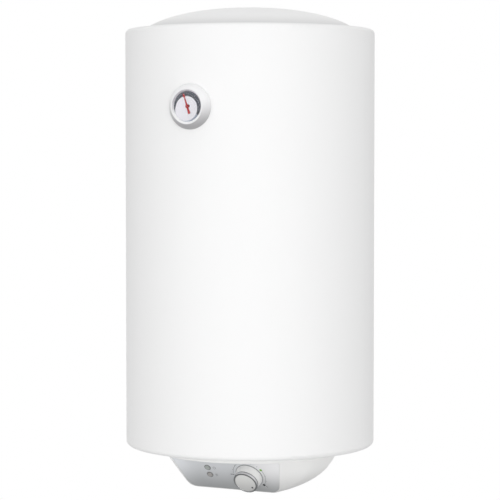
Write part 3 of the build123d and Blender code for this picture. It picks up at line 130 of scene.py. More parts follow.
class Graph:
    """A shader node tree that is being wired."""

    def __init__(self, tree: bpy.types.NodeTree) -> None:
        """Keep the tree that nodes go into."""
        self.tree = tree

    def add(self, kind: str, **settings: object) -> bpy.types.Node:
        """Add a node and set its properties.

        Args:
            kind: Blender's type name of the node.
            **settings: Properties of the node.

        Returns:
            The new node.
        """
        node = self.tree.nodes.new(kind)
        for name, value in settings.items():
            setattr(node, name, value)
        return node

    def feed(self, target: Socket, source: object) -> None:
        """Link a socket to an input, or set the input's plain value.

        Args:
            target: Input socket.
            source: Output socket, or the value to set.
        """
        if isinstance(source, Socket):
            self.tree.links.new(source, target)
        else:
            target.default_value = source

    def feed_all(self, targets: Iterable[Socket], *sources: object) -> None:
        """Feed the first inputs of a node in order."""
        for target, source in zip(targets, sources):
            self.feed(target, source)

    def wire(self, node: bpy.types.Node, **sources: object) -> None:
        """Feed inputs by their labels, written with underscores for spaces."""
        for label, source in sources.items():
            self.feed(node.inputs[label.replace("_", " ")], source)

    def math(self, operation: str, first: object, second: object = 0.0) -> Socket:
        """Add a math node.

        Args:
            operation: Name of the operation.
            first: Socket or number.
            second: Socket or number.

        Returns:
            The result's socket.
        """
        node = self.add("ShaderNodeMath", operation=operation)
        self.feed_all(node.inputs, first, second)
        return node.outputs[0]

    def ramp(self, value: object, low: float, high: float, start: object, end: object) -> Socket:
        """Map a value from one span to another, smoothly and without overshoot.

        Args:
            value: Socket to map.
            low: Value at which the result is start.
            high: Value at which the result is end.
            start: First result, a socket or number.
            end: Last result, a socket or number.

        Returns:
            The mapped value's socket.
        """
        node = self.add("ShaderNodeMapRange", interpolation_type="SMOOTHSTEP")
        self.feed_all(node.inputs, value, low, high, start, end)
        return node.outputs[0]

    def mix(self, share: object, first: object, second: object) -> Socket:
        """Mix two colours.

        Args:
            share: Share of the second colour.
            first: Colour or socket.
            second: Colour or socket.

        Returns:
            The mixed colour's socket.
        """
        node = self.add("ShaderNodeMix", data_type="RGBA")
        self.wire(node, Factor=share)
        self.feed_all((socket for socket in node.inputs if socket.type == "RGBA"), first, second)
        return next(socket for socket in node.outputs if socket.type == "RGBA")

    def scaled(self, colour: Socket, factor: Socket) -> Socket:
        """Make a colour lighter or darker.

        Args:
            colour: Socket of the colour.
            factor: Socket of the factor.

        Returns:
            The scaled colour's socket.
        """
        node = self.add("ShaderNodeVectorMath", operation="SCALE")
        self.feed(node.inputs[0], colour)
        self.wire(node, Scale=factor)
        return node.outputs[0]

    def place(self) -> Socket:
        """Socket of a point's place in the frame, in metres."""
        return self.add("ShaderNodeTexCoord").outputs["Object"]

    def along(self, axis: str) -> Socket:
        """Take a point's place along one axis of the frame.

        Args:
            axis: X, Y or Z.

        Returns:
            The socket of the distance in metres.
        """
        split = self.add("ShaderNodeSeparateXYZ")
        self.wire(split, Vector=self.place())
        return split.outputs[axis]

    def noise(self, place: Socket, scale: object, detail: float) -> Socket:
        """Add noise.

        Args:
            place: Socket of the coordinates.
            scale: Cells per metre.
            detail: Octaves of finer noise.

        Returns:
            The socket of a value near 0.5.
        """
        node = self.add("ShaderNodeTexNoise")
        self.wire(node, Vector=place, Scale=scale, Detail=detail)
        return node.outputs[0]


def new_group(
    name: str, inputs: dict[str, str], outputs: dict[str, str]
) -> tuple[Graph, dict[str, Socket], dict[str, Socket]]:
    """Start a shader node group with named sockets.

    Args:
        name: The group's name.
        inputs: Socket type of each input.
        outputs: Socket type of each output.

    Returns:
        The group's graph, its input sockets by name, and its result sockets by name.
    """
    tree = bpy.data.node_groups.new(name, "ShaderNodeTree")
    for label, kind in inputs.items():
        tree.interface.new_socket(label, in_out="INPUT", socket_type=kind)
    for label, kind in outputs.items():
        tree.interface.new_socket(label, in_out="OUTPUT", socket_type=kind)
    graph = Graph(tree)
    entry = graph.add("NodeGroupInput")
    result = graph.add("NodeGroupOutput")
    return graph, {n: entry.outputs[n] for n in inputs}, {n: result.inputs[n] for n in outputs}


def build_surface_group() -> bpy.types.NodeTree:
    """Group for the slight unevenness of paint, moulded plastic and plated metal.

    Returns:
        A group that varies a colour and a roughness in soft clouds and gives a fine grain's height.
    """
    graph, given, result = new_group(
        "surface_unevenness",
        {
            "Colour": "NodeSocketColor",
            "Drift": "NodeSocketFloat",
            "Roughness": "NodeSocketFloat",
            "Roughness Drift": "NodeSocketFloat",
            "Grain Scale": "NodeSocketFloat",
            "Grain Direction": "NodeSocketVector",
        },
        {"Colour": "NodeSocketColor", "Roughness": "NodeSocketFloat", "Height": "NodeSocketFloat"},
    )
    aligned = graph.add("ShaderNodeVectorMath", operation="MULTIPLY")
    graph.feed_all(aligned.inputs, graph.place(), given["Grain Direction"])
    clouds = graph.noise(aligned.outputs[0], CLOUD_SCALE, CLOUD_DETAIL)
    grain = graph.noise(aligned.outputs[0], given["Grain Scale"], GRAIN_DETAIL)
    coarse = graph.math("MULTIPLY", clouds, CLOUD_SHARE)
    both = graph.math("ADD", coarse, graph.math("MULTIPLY", grain, 1.0 - CLOUD_SHARE))
    swing = graph.math("SUBTRACT", graph.math("MULTIPLY", both, 2.0), 1.0)
    gain = graph.math("ADD", 1.0, graph.math("MULTIPLY", swing, given["Drift"]))
    graph.feed(result["Colour"], graph.scaled(given["Colour"], gain))
    change = graph.math("MULTIPLY", swing, given["Roughness Drift"])
    graph.feed(result["Roughness"], graph.math("ADD", given["Roughness"], change))
    graph.feed(result["Height"], grain)
    return graph.tree


def build_wear_group() -> bpy.types.NodeTree:
    """Group for rubbed edges.

    Returns:
        A group that lets a bare colour through where the surface turns sharply outwards.
    """
    graph, given, result = new_group(
        "edge_wear",
        {"Colour": "NodeSocketColor", "Bare Colour": "NodeSocketColor", "Amount": "NodeSocketFloat"},
        {"Colour": "NodeSocketColor"},
    )
    sharp = graph.add("ShaderNodeNewGeometry").outputs["Pointiness"]
    patchy = graph.noise(graph.place(), PATCH_SCALE, PATCH_DETAIL)
    edge = graph.ramp(sharp, WEAR_BEGINS, WEAR_FULL, 0.0, 1.0)
    mask = graph.math("MULTIPLY", graph.math("MULTIPLY", edge, patchy), given["Amount"])
    graph.feed(result["Colour"], graph.mix(mask, given["Colour"], given["Bare Colour"]))
    return graph.tree


SURFACE = build_surface_group()
EDGE_WEAR = build_wear_group()


def new_material(name: str) -> tuple[bpy.types.Material, Graph, bpy.types.Node]:
    """Start a material.

    Args:
        name: Name of the material.

    Returns:
        The material, its graph and its main shader.
    """
    material = bpy.data.materials.new(name)
    material.use_nodes = True
    tree = material.node_tree
    return material, Graph(tree), tree.nodes["Principled BSDF"]


@dataclass(frozen=True)
class Finish:
    """An opaque finish: paint, moulded plastic, plated or bare metal.

    Attributes:
        name: Name of the material.
        colour: Linear colour.
        roughness: Mean roughness.
        metallic: 0 for paint and plastic, 1 for bare metal.
        coat: Weight of a clear gloss layer.
        drift: Share by which the colour varies.
        roughness_drift: How far the roughness varies.
        grain: Way in which the fine structure runs.
        grain_scale: Grains per metre.
        grain_height: Height of the grains.
        bare: Colour under rubbed edges, or None where the edges aren't rubbed.
        wear: Share of the bare colour on sharp edges.
        gloss: Level of the surface's mirror reflection.
    """

    name: str
    colour: Colour
    roughness: float
    metallic: float = 0.0
    coat: float = 0.0
    drift: float = 0.015
    roughness_drift: float = 0.06
    grain: Grain = Grain.EVEN
    grain_scale: float = 700.0
    grain_height: float = 0.00002
    bare: Colour | None = None
    wear: float = 0.6
    gloss: float = 0.5

    @cache
    def material(self) -> bpy.types.Material:
        """Make the material once.

        Returns:
            The material.
        """
        material, graph, shader = new_material(self.name)
        surface = graph.add("ShaderNodeGroup", node_tree=SURFACE)
        graph.wire(surface, Colour=self.pigment(graph), Drift=self.drift, Roughness=self.roughness)
        graph.wire(surface, Roughness_Drift=self.roughness_drift, Grain_Scale=self.grain_scale)
        graph.wire(surface, Grain_Direction=self.grain.value)
        bump = graph.add("ShaderNodeBump")
        graph.wire(bump, Distance=self.grain_height, Height=surface.outputs["Height"])
        graph.wire(shader, Metallic=self.metallic, Coat_Weight=self.coat, Specular_IOR_Level=self.gloss)
        graph.wire(shader, Base_Color=self.rubbed(graph, surface.outputs["Colour"]))
        graph.wire(shader, Roughness=surface.outputs["Roughness"], Normal=bump.outputs["Normal"])
        return material

    def pigment(self, graph: Graph) -> object:
        """Colour before the unevenness is laid over it."""
        return (*self.colour, 1.0)

    def rubbed(self, graph: Graph, colour: Socket) -> Socket:
        """Let bare metal through at the edges of a finish that wears.

        Args:
            graph: The material's nodes.
            colour: Socket of the unworn colour.

        Returns:
            The socket of the colour to use.
        """
        if self.bare is None:
            return colour
        worn = graph.add("ShaderNodeGroup", node_tree=EDGE_WEAR)
        graph.wire(worn, Colour=colour, Bare_Colour=(*self.bare, 1.0), Amount=self.wear)
        return worn.outputs["Colour"]


@dataclass(frozen=True)
class PaintedShadeFinish(Finish):
    """A finish whose colour runs from one tone to another with height; the change of tone is painted shade.

    Attributes:
        foot_colour: Linear colour at the foot.
        foot: Height of the foot.
        head: Height at which the main colour is reached.
    """

    foot_colour: Colour = (0.0, 0.0, 0.0)
    foot: float = 0.0
    head: float = 1.0

    def pigment(self, graph: Graph) -> Socket:
        """Colour by height, running through the painted shade between the two tones."""
        share = graph.ramp(graph.along("Z"), self.foot, self.head, 0.0, 1.0)
        return graph.mix(share, (*self.foot_colour, 1.0), self.main_tone(graph))

    def main_tone(self, graph: Graph) -> object:
        """Colour at the head."""
        return (*self.colour, 1.0)


@dataclass(frozen=True)
class PanelFinish(PaintedShadeFinish):
    """A painted-shade finish whose tone also changes across the front: painted shade darkens its left and a
    painted highlight lightens its left edge.

    Attributes:
        left_colour: Linear main colour at the left, darkened as painted shade.
        left: Place across the front up to which the left colour holds.
        right: Place across the front at which the main colour is reached.
        edge_gain: How many times lighter the left edge is, as a painted highlight.
        edge: Place of the left edge across the front.
        edge_end: Place across the front at which the lighter edge has faded.
    """

    left_colour: Colour = (1.0, 1.0, 1.0)
    left: float = 0.0
    right: float = 1.0
    edge_gain: float = 1.0
    edge: float = -1.0
    edge_end: float = 0.0

    def pigment(self, graph: Graph) -> Socket:
        """Colour by height, with a painted highlight towards the left edge."""
        gain = graph.ramp(graph.along("X"), self.edge, self.edge_end, self.edge_gain, 1.0)
        return graph.scaled(super().pigment(graph), gain)

    def main_tone(self, graph: Graph) -> Socket:
        """Colour at the head, from the painted-shade left to the right."""
        share = graph.ramp(graph.along("X"), self.left, self.right, 0.0, 1.0)
        return graph.mix(share, (*self.left_colour, 1.0), (*self.colour, 1.0))


@dataclass(frozen=True)
class ClearFinish:
    """Clear glass.

    Attributes:
        name: Name of the material.
        colour: Linear tint.
        roughness: Least roughness; smears double it.
        clarity: Weight of the light that passes through.
        bending: Refractive index; a low one stands for an anti-glare layer.
    """

    name: str
    colour: Colour
    roughness: float
    clarity: float
    bending: float = 1.46

    @cache
    def material(self) -> bpy.types.Material:
        """Make the material once.

        Returns:
            The material.
        """
        material, graph, shader = new_material(self.name)
        smear = graph.noise(graph.place(), SMEAR_SCALE, SMEAR_DETAIL)
        rough = graph.ramp(smear, SMEAR_LOW, SMEAR_HIGH, self.roughness, 2.0 * self.roughness)
        graph.wire(shader, Base_Color=(*self.colour, 1.0), Roughness=rough)
        graph.wire(shader, Transmission_Weight=self.clarity, IOR=self.bending)
        return material


AnyFinish = Finish | ClearFinish


class Palette:
    """Every finish of the heater."""

    CASING = Finish("casing_enamel", grey(244), 0.55, drift=0.006, grain_scale=420.0, gloss=0.2)
    # Dome enamel, darker towards the rim in painted shade.
    DOME = PaintedShadeFinish(
        "dome_enamel_painted_shade", grey(246), 0.5, drift=0.008, grain_scale=420.0, foot_colour=grey(219),
        foot=0.345, head=0.372,
    )
    BASE = Finish("base_plastic", grey(232), 0.5, drift=0.01, grain_scale=900.0)
    # Cover plastic, darker towards its bottom in painted shade.
    COVER = PaintedShadeFinish(
        "cover_plastic_painted_shade", srgb(249, 249, 248), 0.42, drift=0.008, grain_scale=1300.0, gloss=0.15,
        foot_colour=srgb(206, 206, 205), foot=-0.480, head=-0.425,
    )
    # Bezel plastic, grey towards its bottom in painted shade.
    BEZEL = PaintedShadeFinish(
        "bezel_plastic_painted_shade", srgb(240, 240, 241), 0.4, drift=0.006, grain_scale=1500.0, gloss=0.2,
        foot_colour=srgb(168, 167, 169), foot=0.172, head=0.224,
    )
    # Panel lacquer, darker towards its bottom and its left in painted shade, with a painted highlight along
    # its left edge.
    PANEL = PanelFinish(
        "panel_lacquer_painted_shade", srgb(243, 243, 244), 0.45, metallic=0.25, drift=0.03, grain_scale=2600.0,
        grain_height=0.000006, foot_colour=srgb(146, 148, 149), foot=-0.484, head=-0.421,
        left_colour=srgb(212, 214, 217), left=0.015, right=0.08, edge_gain=1.24, edge=-0.105,
        edge_end=-0.055,
    )
    KNOB = Finish("knob_lacquer", srgb(232, 232, 231), 0.42, metallic=0.05, drift=0.02, grain_scale=2400.0)
    # Knob face, darker towards its bottom in painted shade.
    KNOB_FACE = PaintedShadeFinish(
        "knob_face_satin_painted_shade", srgb(220, 220, 218), 0.4, metallic=0.2, drift=0.02, grain_scale=2400.0,
        foot_colour=srgb(182, 182, 181), foot=-0.476, head=-0.440,
    )
    # Grey ring round the knob's foot: painted shadow.
    KNOB_FOOT_SHADOW = Finish("knob_foot_shadow_grey", srgb(162, 164, 166), 0.6, drift=0.03, gloss=0.2)
    # Grey line where the ring meets the knob's body: painted shade of the groove.
    KNOB_SHADE_LINE = Finish("knob_shade_line_grey", srgb(138, 140, 142), 0.6, drift=0.03, gloss=0.2)
    # Grey skin over the ring's front edge: painted shade of the groove round the face.
    KNOB_LIP_SHADE = Finish("knob_lip_painted_shade", srgb(112, 114, 115), 0.5, drift=0.02, gloss=0.1)
    CHROME = Finish(
        "ring_chrome", srgb(226, 226, 227), 0.22, metallic=0.75, drift=0.01, grain_height=0.000002,
    )
    GREEN_LENS = Finish("green_lens_plastic", srgb(164, 169, 166), 0.35, drift=0.03)
    AMBER_LENS = Finish("amber_lens_plastic", srgb(156, 153, 151), 0.35, drift=0.03)
    GROOVE = Finish("shadow_groove", srgb(112, 114, 114), 0.6, drift=0.03)
    INK = Finish("print_dark", srgb(40, 41, 44), 0.55, drift=0.04, grain_height=0.000004)
    INK_PALE = Finish("print_grey", srgb(118, 120, 122), 0.55, drift=0.04, grain_height=0.000004)
    INK_GREEN = Finish("print_green", srgb(112, 168, 52), 0.55, drift=0.04, grain_height=0.000004)
    DIAL = Finish("dial_white", srgb(214, 213, 219), 0.55, drift=0.01, grain_height=0.000004)
    DIAL_BAND = Finish("dial_band_slate", srgb(72, 75, 84), 0.5, drift=0.08, grain_scale=500.0)
    # Throat lining, darker towards its top in painted shade inside the bezel.
    THROAT = PaintedShadeFinish(
        "bezel_throat_painted_shade", srgb(188, 184, 190), 0.45, drift=0.006, grain_scale=1500.0,
        foot_colour=srgb(240, 240, 241), foot=0.190, head=0.222,
    )
    DIAL_LINE = Finish("dial_line_pale", srgb(142, 149, 161), 0.5, drift=0.03)
    BEZEL_LIP = Finish(
        "bezel_lip_white", srgb(236, 236, 237), 0.35, drift=0.006, grain_scale=1500.0, gloss=0.3,
    )
    DIAL_MARK = Finish("dial_mark_grey", srgb(122, 126, 134), 0.5, drift=0.03)
    NEEDLE = Finish("needle_red_paint", srgb(168, 24, 28), 0.45, drift=0.02)
    # Dark red of the needle's pivot, also used for the painted shade beside it on the dial.
    PIVOT_AND_HUB_SHADE = Finish("pivot_and_hub_shade_dark", srgb(74, 40, 40), 0.4, drift=0.02)
    GAUGE_CASE = Finish("gauge_case_grey", srgb(92, 94, 98), 0.5, metallic=0.6)
    GLASS = ClearFinish("clear_gauge_glass", (1.0, 1.0, 1.0), 0.01, 1.0, bending=1.12)
    ZINC = Finish(
        "zinc_plate", srgb(156, 159, 162), 0.36, metallic=0.9, drift=0.12, roughness_drift=0.12,
        grain_scale=260.0, bare=srgb(206, 206, 204),
    )
    TUBE_STEEL = Finish(
        "turned_steel", srgb(182, 183, 184), 0.3, metallic=1.0, drift=0.05, grain=Grain.ALONG_X,
        grain_scale=900.0,
    )
    TANK = Finish("tank_enamel", srgb(74, 92, 124), 0.3, coat=0.3, drift=0.06, bare=srgb(120, 124, 130))
    FOAM = Finish(
        "insulation_foam", srgb(226, 208, 148), 0.9, drift=0.09, grain_scale=320.0, grain_height=0.0004,
    )
    RUBBER = Finish("gasket_rubber", srgb(38, 38, 39), 0.75, drift=0.08, grain_height=0.00004)
    CERAMIC = Finish("heater_ceramic", srgb(222, 216, 200), 0.65, drift=0.04, grain_height=0.00004)
    ANODE = Finish("anode_magnesium", srgb(176, 178, 180), 0.55, metallic=0.8, drift=0.1, grain_scale=300.0)
    COPPER = Finish(
        "bright_copper", srgb(196, 134, 100), 0.3, metallic=1.0, drift=0.07, bare=srgb(222, 164, 128),
    )
    BLUE = Finish("blue_collar_plastic", srgb(40, 90, 178), 0.35, drift=0.03)
    RED = Finish("red_collar_plastic", srgb(190, 44, 40), 0.35, drift=0.03)
    PALE_PLASTIC = Finish("works_pale_plastic", srgb(214, 210, 198), 0.5, drift=0.03)
    BLACK_PLASTIC = Finish("works_black_plastic", srgb(44, 44, 46), 0.5, drift=0.05, grain_height=0.00003)
    LEAD_BROWN = Finish("brown_lead_sleeve", srgb(104, 66, 46), 0.5, drift=0.05)
    LEAD_BLUE = Finish("blue_lead_sleeve", srgb(58, 104, 170), 0.5, drift=0.05)
    LEAD_EARTH = Finish("earth_lead_sleeve", srgb(128, 168, 52), 0.5, drift=0.05)
    GLAND = Finish("gland_grey_plastic", srgb(176, 178, 179), 0.5, drift=0.03, grain_height=0.00003)


def paint(finish: AnyFinish, *nodes: str) -> None:
    """Give solids their finish.

    Args:
        finish: The finish.
        *nodes: Names of the solids.
    """
    for name in nodes:
        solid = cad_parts[name]
        solid.data.materials.clear()
        solid.data.materials.append(finish.material())
        LOG.info("%s painted with %s", name, finish.name)


def seat(origin: Point, across: Point, up: Point) -> Matrix:
    """Plane on which flat or turned pieces are drawn.

    Args:
        origin: Origin of the plane.
        across: Direction of its x.
        up: Direction of its y.

    Returns:
        The matrix that takes drawn points to their place; z points out of the plane.
    """
    x, y = Vector(across).normalized(), Vector(up).normalized()
    turn = Matrix((x, y, x.cross(y))).transposed()
    return Matrix.Translation(origin) @ turn.to_4x4()


def new_object(name: str, mesh: Mesh, material: bpy.types.Material) -> bpy.types.Object:
    """Put a mesh into the scene.

    Args:
        name: Name of the object.
        mesh: Mesh in place; it is used up.
        material: Material of all its faces.

    Returns:
        The object.
    """
    data = bpy.data.meshes.new(name)
    mesh.to_mesh(data)
    mesh.free()
    data.materials.append(material)
    thing = bpy.data.objects.new(name, data)
    bpy.context.scene.collection.objects.link(thing)
    return thing


def add_piece(
    name: str, mesh: Mesh, finish: AnyFinish, body: Body = Body.HEATER
) -> bpy.types.Object:
    """Turn a mesh into a piece that rides on a body.

    Args:
        name: Name of the piece.
        mesh: Mesh in place; it is used up.
        finish: Finish of the piece.
        body: Body that carries it.

    Returns:
        The piece.
    """
    bmesh.ops.recalc_face_normals(mesh, faces=mesh.faces)
    piece = new_object(name, mesh, finish.material())
    piece.data.shade_smooth()
    piece.data.set_sharp_from_angle(angle=SHARP_ANGLE)
    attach(piece, body.value)
    LOG.info("%s built, %d faces, rides on %s", name, len(piece.data.polygons), body.value)
    return piece


def polar(radius: float, angle: float) -> Pair:
    """Point at a distance and an angle in radians from the origin."""
    return radius * math.cos(angle), radius * math.sin(angle)


def circle_points(radius: float, count: int, x: float = 0.0, y: float = 0.0) -> Outline:
    """Points round a circle with its centre at x and y, anticlockwise."""
    return arc_section(x, y, radius, radius, (360.0 * step / count for step in range(count)))


def arc_section(
    x: float, y: float, half_width: float, half_height: float, angles: Iterable[float]
) -> Outline:
    """Points at angles in degrees on a round or oval curve with its centre at x and y."""
    turns = [math.radians(angle) for angle in angles]
    return [(x + half_width * math.cos(turn), y + half_height * math.sin(turn)) for turn in turns]


def box_section(left: float, bottom: float, right: float, top: float) -> Outline:
    """Corners of a rectangle, anticlockwise from its lower left."""
    return [(left, bottom), (right, bottom), (right, top), (left, top)]


def arc_strip(radius: float, width: float, start: float, end: float, count: int = 48) -> Outline:
    """Outline of a curved line of even width.

    Args:
        radius: Radius of its middle.
        width: Its width.
        start: First angle in degrees.
        end: Last angle in degrees.
        count: Steps along it.

    Returns:
        The outline's points.
    """
    angles = [start + (end - start) * step / count for step in range(count + 1)]
    outer, inner = radius + width / 2, radius - width / 2
    return arc_section(0.0, 0.0, outer, outer, angles) + arc_section(0.0, 0.0, inner, inner, angles[::-1])


def tick(radius: float, length: float, width: float, angle: float) -> Outline:
    """Outline of a short line that points away from a centre.

    Args:
        radius: Distance of its inner end.
        length: Its length.
        width: Its width.
        angle: Its angle in degrees.

    Returns:
        The outline's points.
    """
    c, s = polar(1.0, math.radians(angle))
    corners = box_section(radius, -width / 2, radius + length, width / 2)
    return [(c * x - s * y, s * x + c * y) for x, y in corners]


def plates(
    outlines: Iterable[Outline], place: Matrix, top: float, bottom: float = 0.0, mesh: Mesh | None = None
) -> Mesh:
    """Mesh of thin closed plates on one plane.

    Args:
        outlines: Points of each plate, anticlockwise.
        place: Plane that they are drawn on.
        top: Distance of their faces from the plane.
        bottom: Distance of their undersides from the plane.
        mesh: Mesh to add to, or None for a new one.

    Returns:
        The mesh.
    """
    mesh = bmesh.new() if mesh is None else mesh
    for outline in outlines:
        low = [mesh.verts.new(place @ Vector((x, y, bottom))) for x, y in outline]
        high = [mesh.verts.new(place @ Vector((x, y, top))) for x, y in outline]
        mesh.faces.new(high)
        mesh.faces.new(low[::-1])
        for i in range(len(outline)):
            j = (i + 1) % len(outline)
            mesh.faces.new((low[i], low[j], high[j], high[i]))
    return mesh


def skin(rings: list[list[Point]], place: Matrix) -> Mesh:
    """Mesh of a closed skin over rings of points; the last ring joins the first.

    Args:
        rings: Rings of as many points each, or of one point on the axis.
        place: Plane that the points are given on.

    Returns:
        The mesh.
    """
    mesh = bmesh.new()
    count = max(len(ring) for ring in rings)
    loops = [[mesh.verts.new(place @ Vector(point)) for point in ring] for ring in rings]
    for loop, following in zip(loops, loops[1:] + loops[:1]):
        for i in range(count):
            j = (i + 1) % count
            corners = [loop[i % len(loop)], loop[j % len(loop)]]
            corners += [following[j % len(following)], following[i % len(following)]]
            unique = list(dict.fromkeys(corners))
            if len(unique) > 2:
                mesh.faces.new(unique)
    return mesh


def ring_points(radius: float, height: float, count: int) -> list[Point]:
    """Points round an axis at one height; a radius of 0 gives the one point on the axis."""
    outline = circle_points(radius, count) if radius else [(0.0, 0.0)]
    return [(x, y, height) for x, y in outline]


def turned(profile: Outline, place: Matrix, count: int = TURNED_STEPS) -> Mesh:
    """Mesh of a closed loop of radius and height, turned round the plane's z in so many steps."""
    return skin([ring_points(radius, height, count) for radius, height in profile], place)


@dataclass(frozen=True)
class Lamp:
    """A square soft lamp of the studio.

    Attributes:
        name: Name of the lamp.
        place: Its position.
        size: Side of the square.
        power: Watts.
        mirrored: Whether it shows in shiny surfaces.
    """

    name: str
    place: Point
    size: float
    power: float
    mirrored: bool = True


@dataclass
class Studio:
    """Floor, lamps, white surroundings and the photograph's viewpoint."""

    floor_height: float = -0.95
    floor_size: float = 30.0
    floor_colour: Colour = grey(214)
    floor_glow: float = 0.9
    floor_fade: Pair = (0.6, 2.4)
    surround: float = 0.65
    lamp_aim: Point = (0.0, -0.239, -0.05)
    lamps: tuple[Lamp, ...] = (
        Lamp("front_lamp", (1.75, -3.75, -0.05), 3.0, 54.0),
        Lamp("left_lamp", (-1.35, -3.5, -0.3), 1.5, 15.0),
        Lamp("right_lamp", (3.4, -1.6, -0.3), 1.5, 15.0),
        Lamp("top_lamp", (0.3, -0.6, 2.6), 2.5, 8.0),
        Lamp("back_lamp", (-1.8, 3.3, 0.6), 1.6, 34.0, mirrored=False),
    )
    camera_place: Point = (1.6547, -3.4587, 0.1294)
    camera_aim: Point = (0.0, -0.239, -0.0477)
    lens: float = 143.6
    sensor: float = 36.0

    def build(self) -> None:
        """Set up everything round the heater."""
        self.lay_floor()
        self.light_surroundings()
        for lamp in self.lamps:
            self.hang(lamp)
        self.place_camera()

    @staticmethod
    def seen_directly(graph: Graph) -> Socket:
        """Mask of rays that come straight from the camera, a mirror or glass.

        Args:
            graph: Nodes to add to.

        Returns:
            The mask's socket.
        """
        path = graph.add("ShaderNodeLightPath").outputs
        mirrored = graph.math("MAXIMUM", path["Is Glossy Ray"], path["Is Transmission Ray"])
        return graph.math("MAXIMUM", path["Is Camera Ray"], mirrored)

    def lay_floor(self) -> None:
        """Lay a square of pale floor under the heater."""
        half = self.floor_size / 2
        mesh = bmesh.new()
        corners = box_section(-half, -half, half, half)
        mesh.faces.new([mesh.verts.new((x, y, self.floor_height)) for x, y in corners])
        floor = new_object("studio_floor", mesh, self.floor_material())

    def floor_material(self) -> bpy.types.Material:
        """Pale floor that looks white, keeps a faint shadow and can be seen through from below.

        Returns:
            The material.
        """
        material, graph, _ = new_material("studio_floor_pale")
        material.node_tree.nodes.clear()
        matt = graph.add("ShaderNodeBsdfDiffuse")
        graph.wire(matt, Color=(*self.floor_colour, 1.0))
        white = graph.add("ShaderNodeEmission")
        blend = graph.add("ShaderNodeMixShader")
        distance = graph.add("ShaderNodeVectorMath", operation="LENGTH")
        graph.feed(distance.inputs[0], graph.place())
        fade = graph.ramp(distance.outputs["Value"], *self.floor_fade, self.floor_glow, 1.0)
        share = graph.math("MULTIPLY", self.seen_directly(graph), fade)
        graph.feed_all(blend.inputs, share, matt.outputs[0], white.outputs[0])
        below = graph.add("ShaderNodeNewGeometry").outputs["Backfacing"]
        clear = graph.add("ShaderNodeBsdfTransparent").outputs[0]
        open_below = graph.add("ShaderNodeMixShader")
        graph.feed_all(open_below.inputs, below, blend.outputs[0], clear)
        graph.wire(graph.add("ShaderNodeOutputMaterial"), Surface=open_below.outputs[0])
        return material

    def light_surroundings(self) -> None:
        """White surroundings that light the heater softly."""
        world = bpy.data.worlds.new("white_studio")
        bpy.context.scene.world = world
        world.use_nodes = True
        graph = Graph(world.node_tree)
        glow = world.node_tree.nodes["Background"]
        strength = graph.add("ShaderNodeMapRange")
        graph.feed_all(strength.inputs, self.seen_directly(graph), 0.0, 1.0, self.surround, 1.0)
        graph.wire(glow, Color=(1.0, 1.0, 1.0, 1.0), Strength=strength.outputs[0])

    @staticmethod
    def put(data: bpy.types.ID, place: Point, aim: Point) -> bpy.types.Object:
        """Put a lamp or the camera in its place.

        Args:
            data: The lamp's or the camera's data.
            place: Its position.
            aim: Point that it looks at.

        Returns:
            The object.
        """
        thing = bpy.data.objects.new(data.name, data)
        thing.location = place
        thing.rotation_euler = (Vector(aim) - Vector(place)).to_track_quat("-Z", "Y").to_euler()
        bpy.context.scene.collection.objects.link(thing)
        return thing

    def hang(self, lamp: Lamp) -> None:
        """Hang a lamp so that it shines at the drum's middle.

        Args:
            lamp: The lamp.
        """
        data = bpy.data.lights.new(lamp.name, "AREA")
        data.size = lamp.size
        data.energy = lamp.power
        hung = self.put(data, lamp.place, self.lamp_aim)
        hung.visible_camera = False
        hung.visible_glossy = lamp.mirrored

    def place_camera(self) -> None:
        """Look from the photograph's place with its angle of view."""
        data = bpy.data.cameras.new("photo_camera")
        data.lens = self.lens
        data.sensor_width = self.sensor
        bpy.context.scene.camera = self.put(data, self.camera_place, self.camera_aim)


class Assembly:
    """A sub-assembly of the heater."""

    def dress(self) -> None:
        """Paint the solids."""

    def build(self) -> None:
        """Add pieces to the solids; a plain sub-assembly has none."""


@dataclass
class Casing(Assembly):
    """White drum, its dome, its base plate and the lap seam down its back."""

    axis_y: float = -0.239
    radius: float = 0.225
    seam_half_width: float = 0.008
    seam_edge: float = 0.0012
    seam_proud: float = 0.0007
    seam_root: float = 0.0004
    seam_foot: float = -0.388
    seam_head: float = 0.338
    seam_rows: int = 24

    def build(self) -> None:
        """Lap the sheet's edge over itself at the back."""
        flat = self.seam_half_width - self.seam_edge
        section = [(-self.seam_half_width, -self.seam_root), (-flat, self.seam_proud)]
        section += [(0.0, self.seam_proud), (flat, self.seam_proud)]
        section += [(self.seam_half_width, -self.seam_root), (0.0, -2 * self.seam_root)]
        outline = [self.on_drum(across, out) for across, out in section]
        step = (self.seam_head - self.seam_foot) / self.seam_rows
        heights = [self.seam_foot + row * step for row in range(self.seam_rows + 1)]
        rings = [[(x, y, height) for x, y in outline] for height in heights]
        middle = self.on_drum(0.0, 0.0)
        rings = [[(*middle, self.seam_foot)]] + rings + [[(*middle, self.seam_head)]]
        mesh = skin(rings, Matrix.Identity(4))
        add_piece("casing_lap_seam", mesh, Palette.CASING)

    def on_drum(self, across: float, out: float) -> Pair:
        """Point near the back of the drum's wall."""
        angle, reach = across / self.radius, self.radius + out
        return reach * math.sin(angle), self.axis_y + reach * math.cos(angle)

    def dress(self) -> None:
        """Paint the drum's sheets."""
        paint(Palette.CASING, "outer_casing")
        paint(Palette.DOME, "top_cap")
        paint(Palette.BASE, "bottom_cap")


class WallBrackets(Assembly):
    """Slotted plates that hang the heater on the wall."""

    def dress(self) -> None:
        """Paint the plates."""
        paint(Palette.ZINC, "lower_wall_bracket", "upper_wall_bracket")


